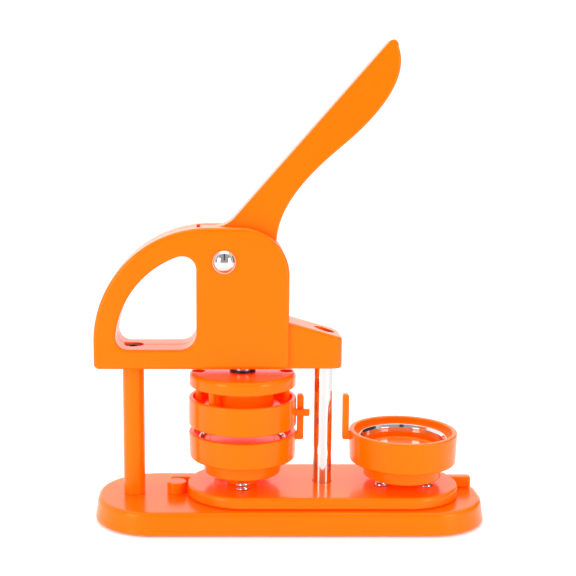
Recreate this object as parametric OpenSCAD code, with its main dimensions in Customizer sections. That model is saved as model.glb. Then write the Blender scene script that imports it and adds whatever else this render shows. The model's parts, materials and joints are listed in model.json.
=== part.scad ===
// Rotary button badge press: a lever press on a base, with a turntable that
// carries two badge dies between the loading side and the press.
// X runs along the base, Y to the rear, Z up; the origin is under the base's centre.

/* [Base] */
// Length of the base
base_l = 290; // [288:1:296]
// Width of the base
base_w = 98; // [96:1:104]
// Radius of the base's corners in plan
base_corner_r = 45; // [42:1:46]
// Height of the base's top face
base_top = 17.4; // [17.4:0.1:17.4]
// How far the drafted sides lean in from foot to top
base_draft = 2; // [1.5:0.5:3]
// Wall thickness of the base shell
base_wall = 3; // [2.5:0.5:3.5]
// Height of the rubber feet
foot_h = 1.2; // [1:0.1:1.5]
// Radius of each rubber foot
foot_r = 8; // [6:0.5:9]

/* [Pillars] */
// X of the chrome post that the turntable turns on
post_x = 25; // [25:1:25]
// Radius of the chrome post
post_r = 7; // [6.5:0.5:7]
// X of the plastic column under the head's free end
column_x = -116; // [-117:1:-115]
// Radius of the plastic column
column_r = 8; // [8:0.5:9]

/* [Turntable] */
// Distance from the post to each die's axis
station_r = 60; // [60:1:60]
// Radius of the plate's ends
plate_end_r = 41.3; // [41:0.1:42]
// Height of the plate's lower face
plate_z = 18.2; // [18.2:0.1:18.2]
// Thickness of the plate
plate_t = 8.2; // [8:0.1:8.4]
// Reach of the stop lugs from the post
lug_reach = 114; // [113:0.5:115]
// Distance of the stop peg from the post
peg_reach = 109.3; // [109:0.1:110]
// Radius of the stop peg
peg_r = 7.3; // [7:0.1:7.5]

/* [Dies] */
// Outer radius of a die cup at its rim
cup_r = 40; // [39.5:0.1:40]
// Radius of a die cup's foot
cup_foot_r = 28.7; // [27:0.1:29]
// Height of the rim
cup_rim_z = 66; // [66:0.1:66]
// Height of the first cup's lower face at rest
cup_a_z = 35; // [35:0.5:36]
// Height of the second, deeper cup's lower face at rest
cup_b_z = 31.5; // [31.5:0.5:32.5]
// Height of the first cup's flange
flange_a_z = 46.4; // [45:0.1:46.4]
// Height of the second cup's flange
flange_b_z = 42.8; // [42:0.2:44]
// Radius of the well inside a cup
well_r = 29.8; // [29.7:0.1:29.9]
// Height of the first die's core
core_a_top = 60; // [59:0.5:60]
// Height of the second die's core
core_b_top = 53; // [52:0.5:54]
// Pitch radius of the springs under a cup
spring_pitch = 19; // [18.5:0.5:19]

/* [Press] */
// Radius of the press disc
disc_r = 39.5; // [39:0.1:39.5]
// Height of the press disc's lower face
disc_z = 101.2; // [101.2:0.1:101.2]
// Thickness of the press disc
disc_t = 9.7; // [9.5:0.1:9.8]
// Outer radius of the upper ring
ring_r = 40; // [39.5:0.1:40]
// Height of the upper ring's lower face
ring_z = 71.2; // [71.2:0.1:71.2]
// Height of the upper ring itself
ring_h = 21; // [20.5:0.5:21]
// Radius of the punch
punch_r = 28.7; // [28.5:0.1:28.7]
// Radius of the plunger
plunger_r = 7.6; // [7.5:0.1:7.7]
// Swing of the selector from one stage to the other, degrees
selector_swing = 16; // [15:0.5:16]

/* [Head] */
// Thickness of the head, both halves together
head_t = 42; // [41:0.5:43]
// X of the head's left edge
head_left = -143.5; // [-143.5:0.5:-143.5]
// X of the head's right edge
head_right = -2; // [-2:0.5:-2]
// Height of the head's lower face
head_bottom = 116.3; // [116.3:0.1:116.3]
// Height of the head's top face
head_top = 219.3; // [219.3:0.1:219.3]
// Width of the bracket over the chrome post
bracket_w = 35; // [34:0.5:36]

/* [Handle] */
// X of the handle's pivot
pivot_x = -49; // [-49:0.5:-49]
// Height of the handle's pivot
pivot_z = 195; // [195:0.5:195]
// Thickness of the handle
handle_t = 20; // [19:0.5:20.5]
// How far the plunger moves for each radian that the handle turns
cam_r = 14; // [14:0.1:14]
// Full swing of the handle, degrees
handle_swing = 56; // [54:1:56]

/* [Hidden] */
$fn = 96;
eps = 0.01;
orange = [1, 0.5, 0.06];
chrome = [0.82, 0.84, 0.87];
steel = [0.66, 0.68, 0.7];
black = [0.09, 0.09, 0.1];
brass = [0.8, 0.65, 0.3];

press_x = post_x - station_r;
load_x = post_x + station_r;
half_t = head_t / 2;
plate_top = plate_z + plate_t;
base_floor = foot_h;
base_skin = 4;
cover_t = 2;
edge_h = 2;
edge_in = 1.6;
fit = 0.06;
gap = 0.4;

web_t = 13;
spring_bore = 5;
ledge_z = cup_rim_z - 5;
recess_r = cup_r - 4;
seat_r = well_r + 2.6;
seat_z = ledge_z - 5;
core_r = well_r - 0.9;
stem_r = 11.5;
stem_bore = 12.2;
spring_seat = plate_top - 2;
bush_cover = 1.2;
spring_end_r = 5.4;
core_screw_top = 43;
key_w = 4;
key_r = 14;
arm_in = cup_r + 0.7;
arm_t = 4.8;
arm_w = 6;
arm_z = ledge_z - 2;
arm_leg_h = 5.5;
arm_root = cup_r - 2;
arm_top = cup_rim_z + 27.4;

disc_top = disc_z + disc_t;
punch_z = 75;
punch_flange_z = 86;
hub_r = 23;
ring_top = ring_z + ring_h;
ring_floor = ring_z + 6.8;
ring_wall_r = ring_r - 3;
ring_bore = punch_r + 0.6;
guide_pitch = 32.5;
guide_r = 2.5;
guide_top = disc_z + 3.3;
stop_post_end = 88.5;
stop_post_angles = [46, 226];
tab_w = 4;
tab_reach = 50;

pivot_r = 5;
pivot_bush_r = 8;
hub_arm_r = 12.8;
block_top = 150;
follower_top = pivot_z - 13.05;
cap_z = follower_top - 6;
cap_r = 12;
follower_bore = 12.8;
guide_bush_r = 11;
lever_gap = handle_t / 2 + 0.8;
bolt_r = 4;
socket_r = 6.5;
head_screw_r = 2;
head_screws_at = [[-136, 124], [-112.5, 190], [-80, 209], [-60, 126], [-12, 140], [8, 127]];
cover_screws_at = [[-124, 22], [-124, -22], [0, 34], [0, -34], [124, 22], [124, -22]];
feet_at = [[-108, 29], [-108, -29], [108, 29], [108, -29]];

// ---- outlines and helpers ----

// Points on an arc about c, from angle a0 to a1
function arc(c, r, a0, a1, n = 12) =
    [for (i = [0 : n]) c + r * [cos(a0 + (a1 - a0) * i / n), sin(a0 + (a1 - a0) * i / n)]];

// Points on a cubic curve with two handles
function cubic(a, b, c, d, n = 20) =
    [for (i = [0 : n]) let (t = i / n, u = 1 - t)
        u * u * u * a + 3 * u * u * t * b + 3 * u * t * t * c + t * t * t * d];

// A plate standing in the X-Z plane, between two Y values
module slab_y(y0, y1) {
    translate([0, y1, 0]) rotate([90, 0, 0]) linear_extrude(height = y1 - y0) children();
}

// A slice in plan, between two heights
module slab_z(z0, z1) {
    translate([0, 0, z0]) linear_extrude(height = z1 - z0) children();
}

// A round bar between two heights
module bar(x, y, r, z0, z1) {
    translate([x, y, z0]) cylinder(r = r, h = z1 - z0);
}

// A hexagonal bar between two heights, r to its corners
module hex(x, y, r, z0, z1) {
    translate([x, y, z0]) cylinder(r = r, h = z1 - z0, $fn = 6);
}

// A round-cornered block whose four sides all lean in by inset
module drafted_block(l, w, r, z0, z1, inset) {
    hl = l / 2;
    hw = w / 2;
    h = z1 - z0;
    translate([hl - r, 0, z0]) rotate([0, -90, 0]) linear_extrude(height = l - 2 * r)
        polygon([[0, -hw], [0, hw], [h, hw - inset], [h, inset - hw]]);
    translate([0, hw - r, z0]) rotate([90, 0, 0]) linear_extrude(height = w - 2 * r)
        polygon([[-hl, 0], [hl, 0], [hl - inset, h], [inset - hl, h]]);
    for (sx = [-1, 1], sy = [-1, 1])
        translate([sx * (hl - r), sy * (hw - r), z0]) cylinder(r1 = r, r2 = r - inset, h = h);
}

// An open coil of round wire between two heights, each face at the wire's own surface
module coil(r, wire_r, z0, z1, turns, sides = 5, steps = 8) {
    rings = turns * steps;
    rise = (z1 - z0 - 2 * wire_r - 2 * eps) / rings;
    points = [for (i = [0 : rings], j = [0 : sides - 1])
        let (a = i * 360 / steps, b = j * 360 / sides, q = r + wire_r * cos(b))
            [q * cos(a), q * sin(a), z0 + eps + wire_r + rise * i + wire_r * sin(b)]];
    skin = [for (i = [0 : rings - 1], j = [0 : sides - 1], half = [0, 1])
        let (a = i * sides, b = a + sides, k = (j + 1) % sides)
            half == 0 ? [a + j, b + j, b + k] : [a + j, b + k, a + k]];
    start = [[for (j = [0 : sides - 1]) j]];
    end = [[for (j = [sides - 1 : -1 : 0]) rings * sides + j]];
    polyhedron(points = points, faces = concat(skin, start, end), convexity = 8);
}

// ---- head outlines, in X and Z ----

sweep_c = [-60, 135.8];
sweep_r = 83.5;
crown_c = [-37, 184.3];
crown_r = 35;
foot_corner = 4;

// The head's side view, drawn in by d
function head_profile(d = 0) = concat(
    arc(sweep_c, sweep_r - d, 180, 90, 36),
    arc(crown_c, crown_r - d, 90, 0, 24),
    arc([head_right - foot_corner, head_bottom + foot_corner], foot_corner - d, 0, -90, 6),
    arc([head_left + foot_corner, head_bottom + foot_corner], foot_corner - d, -90, -180, 6));

window_c = [-59.2, 133.8];
window_r = 68.6;
window_bottom = 131;
window_top = 198.8;
window_right = -69;
sill_r = 9;
heel_r = 12;
shoulder_r = 10;
lintel_r = 9.7;

// Centre of a fillet of radius r that touches the window's arc from inside, at height z
function in_arc(r, z) = [window_c.x - sqrt(pow(window_r - r, 2) - pow(z - window_c.y, 2)), z];
// Direction from the window arc's centre to that fillet
function in_arc_angle(r, z) = 180 - asin((z - window_c.y) / (window_r - r));

// The window's side view, grown by d
function window_profile(d = 0) = concat(
    arc([window_right - heel_r, window_bottom + heel_r], heel_r + d, 0, -90, 8),
    arc(in_arc(sill_r, window_bottom + sill_r), sill_r + d, 270,
        in_arc_angle(sill_r, window_bottom + sill_r), 8),
    arc(window_c, window_r + d, in_arc_angle(sill_r, window_bottom + sill_r),
        in_arc_angle(shoulder_r, window_top - shoulder_r), 24),
    arc(in_arc(shoulder_r, window_top - shoulder_r), shoulder_r + d,
        in_arc_angle(shoulder_r, window_top - shoulder_r), 90, 4),
    arc([window_right - lintel_r, window_top - lintel_r], lintel_r + d, 90, 0, 8));

// Space for the handle's hub and cam, open at the top and to the right
lever_room = [[-69, 225], [-69, 207], [-63.5, 196], [-63.5, 164], [-14, 164], [2, 171], [2, 225]];

// Bracket over the chrome post: side view with a sloping top
bracket_end = post_x + 12.2;
bracket_side = [[head_right - 4, head_bottom], [bracket_end, head_bottom],
    [bracket_end, 138.7], [head_right, 151.4], [head_right - 4, 151.4]];
bracket_corner = 7;

module bracket() {
    intersection() {
        slab_y(-bracket_w / 2, bracket_w / 2) polygon(bracket_side);
        slab_z(head_bottom, head_top) union() {
            translate([head_right - 4, -bracket_w / 2])
                square([bracket_end - bracket_corner - head_right + 4, bracket_w]);
            translate([head_right - 4, bracket_corner - bracket_w / 2])
                square([bracket_end - head_right + 4, bracket_w - 2 * bracket_corner]);
            for (s = [-1, 1])
                translate([bracket_end - bracket_corner, s * (bracket_w / 2 - bracket_corner)])
                    circle(r = bracket_corner);
        }
    }
}

// Hollow between the two mouldings, along the curved band round the window
module band_hollow() {
    skin = 3.5;
    difference() {
        polygon(head_profile(skin));
        polygon(window_profile(skin));
        translate([-74, 0]) square([200, 300]);
        translate([-200, 0]) square([300, window_bottom + 4]);
        for (p = head_screws_at) translate(p) circle(r = 5.5);
    }
}

// Both halves of the head together, before they are split at Y = 0
module head_body() {
    difference() {
        union() {
            slab_y(-half_t, half_t) polygon(head_profile());
            bracket();
        }
        slab_y(-half_t - 1, half_t + 1) polygon(window_profile());
        slab_y(3 - half_t, half_t - 3) band_hollow();
        slab_y(-lever_gap, lever_gap) polygon(lever_room);
        bar(press_x, 0, follower_bore, block_top, pivot_z - 8);
        bar(press_x, 0, guide_bush_r, head_bottom - 1, block_top + 1);
        bar(column_x, 0, bolt_r + 0.2, head_bottom - 1, window_bottom);
        bar(column_x, 0, 8, 122, window_bottom + 1);
        bar(post_x, 0, post_r, head_bottom - 1, 123);
        bar(post_x, 0, bolt_r + 0.2, 122, 133);
        bar(post_x, 0, 7.5, 132, 160);
        translate([pivot_x, 0, pivot_z]) rotate([90, 0, 0])
            cylinder(r = pivot_r, h = head_t + 10, center = true);
    }
}

// Keeps the front (side -1) or the rear (side 1) of what it holds
module half_space(side) {
    translate([-200, side < 0 ? -100 : 0, 0]) cube([400, 100, 400]);
}

// Y of the rear face at a head screw: the bracket is narrower than the head
function rear_face(p) = p.x > head_right ? bracket_w / 2 : half_t;

module head_front() {
    color(orange) difference() {
        intersection() {
            head_body();
            half_space(-1);
        }
        for (p = head_screws_at) translate([p.x, 0, p.y]) rotate([90, 0, 0])
            cylinder(r = head_screw_r, h = 13);
    }
}

module head_rear() {
    color(orange) difference() {
        intersection() {
            head_body();
            half_space(1);
        }
        for (p = head_screws_at) translate([p.x, 0, p.y]) rotate([-90, 0, 0]) {
            cylinder(r = head_screw_r + 0.2, h = rear_face(p));
            translate([0, 0, rear_face(p) - 5]) cylinder(r = 4.2, h = 6);
        }
    }
}

module head_screws() {
    color(black) for (p = head_screws_at) translate([p.x, 0, p.y]) rotate([-90, 0, 0])
        difference() {
            union() {
                translate([0, 0, -12.5]) cylinder(r = head_screw_r, h = rear_face(p) + 8);
                translate([0, 0, rear_face(p) - 5]) cylinder(r = 3.8, h = 3.2);
            }
            translate([0, 0, rear_face(p) - 3.8]) cylinder(r = 1.7, h = 3, $fn = 6);
        }
}

// ---- base ----

module base_shell() {
    shoulder_z = base_top - edge_h;
    lean = base_draft * (shoulder_z - base_floor) / (base_top - base_floor);
    color(orange) difference() {
        union() {
            difference() {
                union() {
                    drafted_block(base_l, base_w, base_corner_r, base_floor, shoulder_z, lean);
                    drafted_block(base_l - 2 * lean, base_w - 2 * lean, base_corner_r - lean,
                        shoulder_z, base_top, edge_in);
                }
                drafted_block(base_l - 2 * base_wall, base_w - 2 * base_wall,
                    base_corner_r - base_wall, base_floor - eps, base_top - base_skin, lean);
            }
            for (p = cover_screws_at) bar(p.x, p.y, 4.5, base_floor + cover_t, base_top - 2);
            bar(column_x, 0, 14, 11.5, base_top - 1);
            bar(post_x, 0, 18, 11.5, base_top - 1);
            bar(post_x - peg_reach, 0, 7, 11, base_top - 1);
            for (y = [-22, 22]) translate([-100, y - 1.2, base_floor + cover_t + 1])
                cube([200, 2.4, 11]);
            for (x = [-75, -25, 75]) translate([x - 1.2, -38, base_floor + cover_t + 1])
                cube([2.4, 76, 11]);
        }
        bar(post_x - peg_reach, 0, 4, 12, base_top + 1);
        for (p = cover_screws_at) bar(p.x, p.y, 1.5, base_floor, 12);
        bar(column_x, 0, bolt_r, 0, base_top + 1);
        bar(post_x, 0, bolt_r, 0, base_top + 1);
    }
}

// Peg that the turntable's lugs come to rest against
module stop_peg() {
    color(orange) translate([post_x - peg_reach, 0, 0]) {
        rotate_extrude() polygon([[0, base_top], [peg_r, base_top], [peg_r, 25.4],
            [peg_r - 0.6, 26], [0, 26]]);
        bar(0, 0, 4, 12, base_top + eps);
    }
}

module base_cover() {
    inset = base_wall + 0.3;
    color(black) difference() {
        drafted_block(base_l - 2 * inset, base_w - 2 * inset, base_corner_r - inset,
            base_floor, base_floor + cover_t, 0.7);
        for (p = cover_screws_at) {
            bar(p.x, p.y, 1.7, 0, 10);
            translate([p.x, p.y, base_floor - eps]) cylinder(r1 = 3.2, r2 = 1.6, h = 1.6);
        }
    }
}

module cover_screws() {
    color(black) for (p = cover_screws_at) {
        translate([p.x, p.y, base_floor]) cylinder(r1 = 3.1, r2 = 1.5, h = 1.6);
        bar(p.x, p.y, 1.5, base_floor + 1, 11);
    }
}

module rubber_feet() {
    color(black) for (p = feet_at) bar(p.x, p.y, foot_r, 0, foot_h);
}

// ---- pillars ----

module column() {
    color(orange) difference() {
        bar(column_x, 0, column_r, base_top, head_bottom);
        bar(column_x, 0, bolt_r + 0.2, base_top - 1, head_bottom + 1);
    }
}

// Socket-head bolt standing on its thread, head seat at z
module socket_bolt(x, z, shank_end, head_r = socket_r, r = bolt_r, head_h = 7.8, key = 3.4) {
    difference() {
        union() {
            bar(x, 0, r, shank_end, z + eps);
            bar(x, 0, head_r, z, z + head_h);
        }
        hex(x, 0, key, z + head_h - 4, z + head_h + 1);
    }
}

module column_bolt() {
    color(black) socket_bolt(column_x, 122, 4.5);
}

module column_nut() {
    color(steel) difference() {
        hex(column_x, 0, 7.5, 5, 11.5);
        bar(column_x, 0, bolt_r, 4, 12);
    }
}

module chrome_post() {
    color(chrome) difference() {
        bar(post_x, 0, post_r, base_top, 123);
        bar(post_x, 0, bolt_r, base_top - 1, 34);
        bar(post_x, 0, bolt_r, 106, 124);
    }
}

module post_top_bolt() {
    color(black) socket_bolt(post_x, 132, 108);
}

module post_bottom_bolt() {
    color(steel) union() {
        hex(post_x, 0, 7.5, 5, 11.5);
        bar(post_x, 0, bolt_r, 11, 32);
    }
}

module thrust_washer() {
    color(brass) difference() {
        bar(post_x, 0, 18, base_top, plate_z - 0.05);
        bar(post_x, 0, post_r + 0.2, base_top - 1, plate_z + 1);
    }
}

// ---- handle and pivot ----

// Cam face: an involute, so that the plunger moves in step with the handle
function cam_point(a) = let (h = 13 + cam_r * a * PI / 180)
    [cam_r * cos(a) + h * sin(a), cam_r * sin(a) - h * cos(a)];

grip_angle = 48.8;
tip_c = [118.9, 152.4];
tip_r = 3.6;
heel_x = -17.4;
heel_top = 24;
blend_r = 20;
blend_x = -7.4;

// The handle's side view about its pivot: hub, cam, belly, tip, straight back, heel
handle_outline = concat(
    arc([0, 0], hub_arm_r, 170, 270, 16),
    [for (i = [0 : 24]) cam_point(handle_swing * i / 24)],
    cubic([38, 14], [39, 45], [73, 72], [87, 84], 20),
    cubic([87, 84], [101, 96], [132.5, 125.5], [122.6, 151], 20),
    arc(tip_c, tip_r, 10, 90 + grip_angle, 8),
    arc([blend_x, heel_top + blend_r], blend_r, grip_angle - 90, -90, 10),
    [[heel_x, heel_top], [heel_x, 14]]);

module handle() {
    color(orange) translate([pivot_x, 0, pivot_z]) difference() {
        slab_y(-handle_t / 2, handle_t / 2) polygon(handle_outline);
        rotate([90, 0, 0]) cylinder(r = pivot_bush_r, h = 40, center = true);
    }
}

module pivot_bush() {
    color(steel) translate([pivot_x, 0, pivot_z]) rotate([90, 0, 0]) difference() {
        cylinder(r = pivot_bush_r, h = handle_t + 0.8, center = true);
        cylinder(r = pivot_r + fit, h = 40, center = true);
    }
}

// A domed head of radius r and height h on a thin flange
module dome_head(r, h) {
    ball = (r * r + h * h) / (2 * h);
    cylinder(r = r, h = 1);
    translate([0, 0, 1]) intersection() {
        translate([0, 0, h - ball]) sphere(r = ball);
        cylinder(r = r - 0.4, h = h + 1);
    }
}

module pivot_bolt() {
    color(chrome) translate([pivot_x, -half_t, pivot_z]) rotate([90, 0, 0]) {
        dome_head(8.3, 4.2);
        translate([0, 0, -head_t - 3.5]) cylinder(r = pivot_r, h = head_t + 4);
    }
}

module pivot_nut() {
    color(chrome) translate([pivot_x, half_t, pivot_z]) rotate([-90, 0, 0]) difference() {
        dome_head(8.3, 5.5);
        translate([0, 0, -1]) cylinder(r = pivot_r, h = 4.5);
    }
}

// ---- plunger and press ----

module plunger_bush() {
    color(steel) difference() {
        bar(press_x, 0, guide_bush_r, head_bottom, block_top);
        bar(press_x, 0, plunger_r + fit, head_bottom - 1, block_top + 1);
    }
}

module plunger() {
    color(steel) difference() {
        union() {
            bar(press_x, 0, plunger_r, disc_z + 2.8, cap_z);
            bar(press_x, 0, 5, cap_z - 1, cap_z + 4);
        }
        bar(press_x, 0, 3, disc_z + 1, 120);
    }
}

module plunger_cap() {
    color(steel) difference() {
        bar(press_x, 0, cap_r, cap_z, follower_top);
        bar(press_x, 0, 5, cap_z - 1, cap_z + 4);
    }
}

module plunger_spring() {
    color(steel) translate([press_x, 0, 0])
        coil(9.6, 0.9, block_top + eps, cap_z - eps, 5, 6, 12);
}

module plunger_washer() {
    color(black) difference() {
        bar(press_x, 0, plunger_r + 2, disc_top, disc_top + 1.5);
        bar(press_x, 0, plunger_r, disc_top - 1, disc_top + 3);
    }
}

module press_disc() {
    edge = 1.2;
    color(orange) translate([press_x, 0, 0]) difference() {
        union() {
            rotate_extrude() polygon([[0, disc_z], [disc_r - 0.5, disc_z], [disc_r, disc_z + 0.5],
                [disc_r, disc_top - edge], [disc_r - edge, disc_top], [0, disc_top]]);
            for (a = stop_post_angles) rotate(a)
                bar(guide_pitch, 0, guide_r, stop_post_end, disc_z + 1);
        }
        bar(0, 0, plunger_r, disc_z + 2.8, disc_top + 1);
        bar(0, 0, 3, disc_z - 1, disc_top);
        for (s = [-1, 1]) {
            bar(s * guide_pitch, 0, guide_r + gap, disc_z - 1, disc_top);
            bar(s * guide_pitch, 0, 5, guide_top, disc_top + 1);
        }
    }
}

module punch() {
    color(orange) translate([press_x, 0, 0]) difference() {
        union() {
            rotate_extrude() polygon([[0, punch_z], [punch_r - 1, punch_z], [punch_r, punch_z + 1],
                [punch_r, punch_flange_z - 1], [punch_r - 1, punch_flange_z], [0, punch_flange_z]]);
            bar(0, 0, hub_r, punch_flange_z - 1, disc_z);
        }
        bar(0, 0, 3, punch_z - 1, disc_z + 1);
        bar(0, 0, 5.5, punch_z - 1, punch_z + 5.5);
    }
}

module punch_bolt() {
    color(black) translate([press_x, 0, 0]) difference() {
        union() {
            bar(0, 0, 5, punch_z + 0.5, punch_z + 5.5);
            bar(0, 0, 3, punch_z + 5, 118);
        }
        hex(0, 0, 2.8, punch_z, punch_z + 3);
    }
}

module upper_ring() {
    slot_w = 2 * (ring_r * sin(selector_swing / 2) + tab_w / 2 + 0.6);
    color(orange) translate([press_x, 0, 0]) {
        difference() {
            rotate_extrude() polygon([[ring_bore, ring_z], [ring_r - 0.8, ring_z],
                [ring_r, ring_z + 0.8], [ring_r, ring_top - 1.2], [ring_r - 1.2, ring_top],
                [ring_wall_r, ring_top], [ring_wall_r, ring_floor], [ring_bore, ring_floor]]);
            translate([ring_wall_r - 1, -slot_w / 2, ring_floor + 0.1]) cube([5, slot_w, 5.9]);
        }
        for (s = [-1, 1]) difference() {
            bar(s * guide_pitch, 0, guide_r, ring_floor - 1, guide_top + 0.1);
            bar(s * guide_pitch, 0, 1.5, 94, guide_top + 1);
        }
    }
}

module ring_screws() {
    color(black) translate([press_x, 0, 0]) for (s = [-1, 1]) difference() {
        union() {
            bar(s * guide_pitch, 0, 1.5, 95, guide_top + 0.2);
            bar(s * guide_pitch, 0, 4.4, guide_top + 0.1, guide_top + 3);
        }
        hex(s * guide_pitch, 0, 1.4, guide_top + 1.4, guide_top + 4);
    }
}

// The turning ring that sets the first or the second stage, with its tab
module selector_ring() {
    z0 = ring_floor + 0.3;
    z1 = ring_floor + 5.7;
    inner = ring_bore + 0.9;
    band = guide_pitch + guide_r + 0.35;
    half = selector_swing / 2 + asin(guide_r / guide_pitch) + 1;
    color(orange) translate([press_x, 0, 0]) rotate(-selector_swing / 2) {
        difference() {
            bar(0, 0, ring_wall_r - 0.3, z0, z1);
            bar(0, 0, inner, z0 - 1, z1 + 1);
            for (a = concat([0, 180], stop_post_angles)) rotate(a) slab_z(z0 - 1, z1 + 1)
                polygon(concat([[0, 0]], arc([0, 0], band, -half, half, 8)));
        }
        translate([ring_wall_r - 1.2, -tab_w / 2, z0 + 0.2])
            cube([tab_reach - ring_wall_r + 1.2, tab_w, 5]);
    }
}

// ---- turntable and dies ----

module turntable() {
    lug_y = peg_r + 0.7;
    lug_w = 7;
    color(orange) difference() {
        slab_z(plate_z, plate_top) union() {
            for (x = [press_x, load_x]) translate([x, 0]) circle(r = plate_end_r);
            translate([press_x, -plate_end_r]) square([2 * station_r, 2 * plate_end_r]);
            translate([post_x - lug_reach, lug_y]) square([2 * lug_reach, lug_w]);
        }
        bar(post_x, 0, 10, plate_z - 1, plate_top - bush_cover);
        bar(post_x, 0, post_r + fit, plate_z, plate_top + 1);
        for (x = [press_x, load_x]) {
            bar(x, 0, 2.5, plate_z - 1, plate_top + 1);
            bar(x, 0, 4.8, plate_z - 1, plate_z + 4);
        }
        each_spring(press_x, -90) bar(0, 0, spring_end_r, spring_seat, plate_top + 1);
        each_spring(load_x, 90) bar(0, 0, spring_end_r, spring_seat, plate_top + 1);
    }
}

// The three spring places under a die, the first at angle a0
module each_spring(x, a0) {
    for (i = [0 : 2]) translate([x, 0, 0]) rotate(a0 + 120 * i)
        translate([spring_pitch, 0, 0]) children();
}

module turntable_bush() {
    color(brass) difference() {
        bar(post_x, 0, 10, plate_z, plate_top - bush_cover);
        bar(post_x, 0, post_r + fit, plate_z - 1, plate_top);
    }
}

// Fixed core of a die: a keyed stem on the plate and a pedestal inside the cup
module die_core(x, low, top) {
    web = low + web_t;
    translate([x, 0, 0]) difference() {
        union() {
            bar(0, 0, stem_r, plate_top, web + 1);
            translate([-key_r, -key_w / 2, plate_top]) cube([2 * key_r, key_w, web + 1 - plate_top]);
            rotate_extrude() polygon([[0, web + gap], [core_r - 1, web + gap],
                [core_r, web + gap + 1], [core_r, top - 1.5], [core_r - 0.5, top - 0.4],
                [core_r - 1.5, top], [0, top]]);
        }
        bar(0, 0, 2.5, plate_top - 1, core_screw_top + 2);
    }
}

module die_a_core() {
    color(orange) die_core(press_x, cup_a_z, core_a_top);
}

module die_b_core() {
    color(orange) die_core(load_x, cup_b_z, core_b_top);
}

module core_screws() {
    color(steel) for (x = [press_x, load_x]) difference() {
        union() {
            bar(x, 0, 4.5, plate_z + 0.4, plate_z + 4);
            bar(x, 0, 2.5, plate_z + 3, core_screw_top);
        }
        hex(x, 0, 2.3, plate_z, plate_z + 2.4);
    }
}

// Sprung cup of a die, with a pocket for its arm on the +X side
module die_cup(x, turn, low, flange) {
    web = low + web_t;
    translate([x, 0, 0]) rotate(turn) difference() {
        rotate_extrude() polygon([[stem_bore, low], [cup_foot_r - 0.8, low],
            [cup_foot_r, low + 0.8], [cup_foot_r, flange],
            [cup_r - 1.6, flange], [cup_r - 0.7, flange + 0.9],
            [cup_r, cup_rim_z - 1], [cup_r - 1, cup_rim_z], [recess_r + 0.5, cup_rim_z],
            [recess_r, cup_rim_z - 0.5], [recess_r, ledge_z], [seat_r, ledge_z],
            [seat_r, seat_z], [well_r, seat_z], [well_r, web], [stem_bore, web]]);
        for (i = [0 : 2]) rotate(120 * i - 90)
            bar(spring_pitch, 0, spring_end_r, low - 1, low + spring_bore);
        translate([-key_r - gap, -key_w / 2 - gap, low - 1])
            cube([2 * (key_r + gap), key_w + 2 * gap, web_t + 2]);
        translate([arm_root, -arm_w / 2, arm_z]) cube([10, arm_w, arm_leg_h]);
    }
}

module die_a_cup() {
    color(orange) die_cup(press_x, 0, cup_a_z, flange_a_z);
}

module die_b_cup() {
    color(orange) die_cup(load_x, 180, cup_b_z, flange_b_z);
}

// L-shaped arm in the cup's pocket, which turns the selector as its die comes round
module die_arm(x, turn) {
    translate([x, 0, 0]) rotate(turn) slab_y(-arm_w / 2, arm_w / 2)
        polygon([[arm_root, arm_z], [arm_in + arm_t, arm_z], [arm_in + arm_t, arm_top],
            [arm_in, arm_top], [arm_in, arm_z + arm_leg_h], [arm_root, arm_z + arm_leg_h]]);
}

module die_a_arm() {
    color(orange) die_arm(press_x, 0);
}

module die_b_arm() {
    color(orange) die_arm(load_x, 180);
}

// Polished ring that lines the mouth of a cup's well
module steel_ring(x) {
    translate([x, 0, 0]) rotate_extrude() polygon([[well_r + 0.2, seat_z], [seat_r, seat_z],
        [seat_r, ledge_z + 0.4], [seat_r - 0.8, ledge_z + 0.4], [well_r + 0.2, ledge_z - 1.8]]);
}

module die_a_steel_ring() {
    color(chrome) steel_ring(press_x);
}

module die_b_steel_ring() {
    color(chrome) steel_ring(load_x);
}

module die_springs(x, a0, low) {
    each_spring(x, a0) coil(4.2, 0.7, spring_seat, low + spring_bore, 5);
}

module die_a_springs() {
    color(steel) die_springs(press_x, -90, cup_a_z);
}

module die_b_springs() {
    color(steel) die_springs(load_x, 90, cup_b_z);
}

base_shell();
stop_peg();
base_cover();
cover_screws();
rubber_feet();
column();
column_bolt();
column_nut();
chrome_post();
post_top_bolt();
post_bottom_bolt();
thrust_washer();
head_front();
head_rear();
head_screws();
pivot_bolt();
pivot_nut();
plunger_bush();
plunger_spring();
handle();
pivot_bush();
plunger();
plunger_cap();
plunger_washer();
press_disc();
punch();
punch_bolt();
upper_ring();
ring_screws();
selector_ring();
turntable();
turntable_bush();
die_a_core();
die_b_core();
core_screws();
die_a_cup();
die_a_arm();
die_a_steel_ring();
die_a_springs();
die_b_cup();
die_b_arm();
die_b_steel_ring();
die_b_springs();
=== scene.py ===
"""Looks of a rotary button badge press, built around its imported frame.

Sizes stand in millimetres in the fields of each class, and become metres where a
mesh is made. X runs along the base, Y to the rear and Z up.
"""
import json
import logging
import math
from dataclasses import dataclass, field
from enum import Enum
from functools import reduce

import bmesh
import bpy
import numpy as np
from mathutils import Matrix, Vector
from mathutils.geometry import tessellate_polygon


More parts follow.
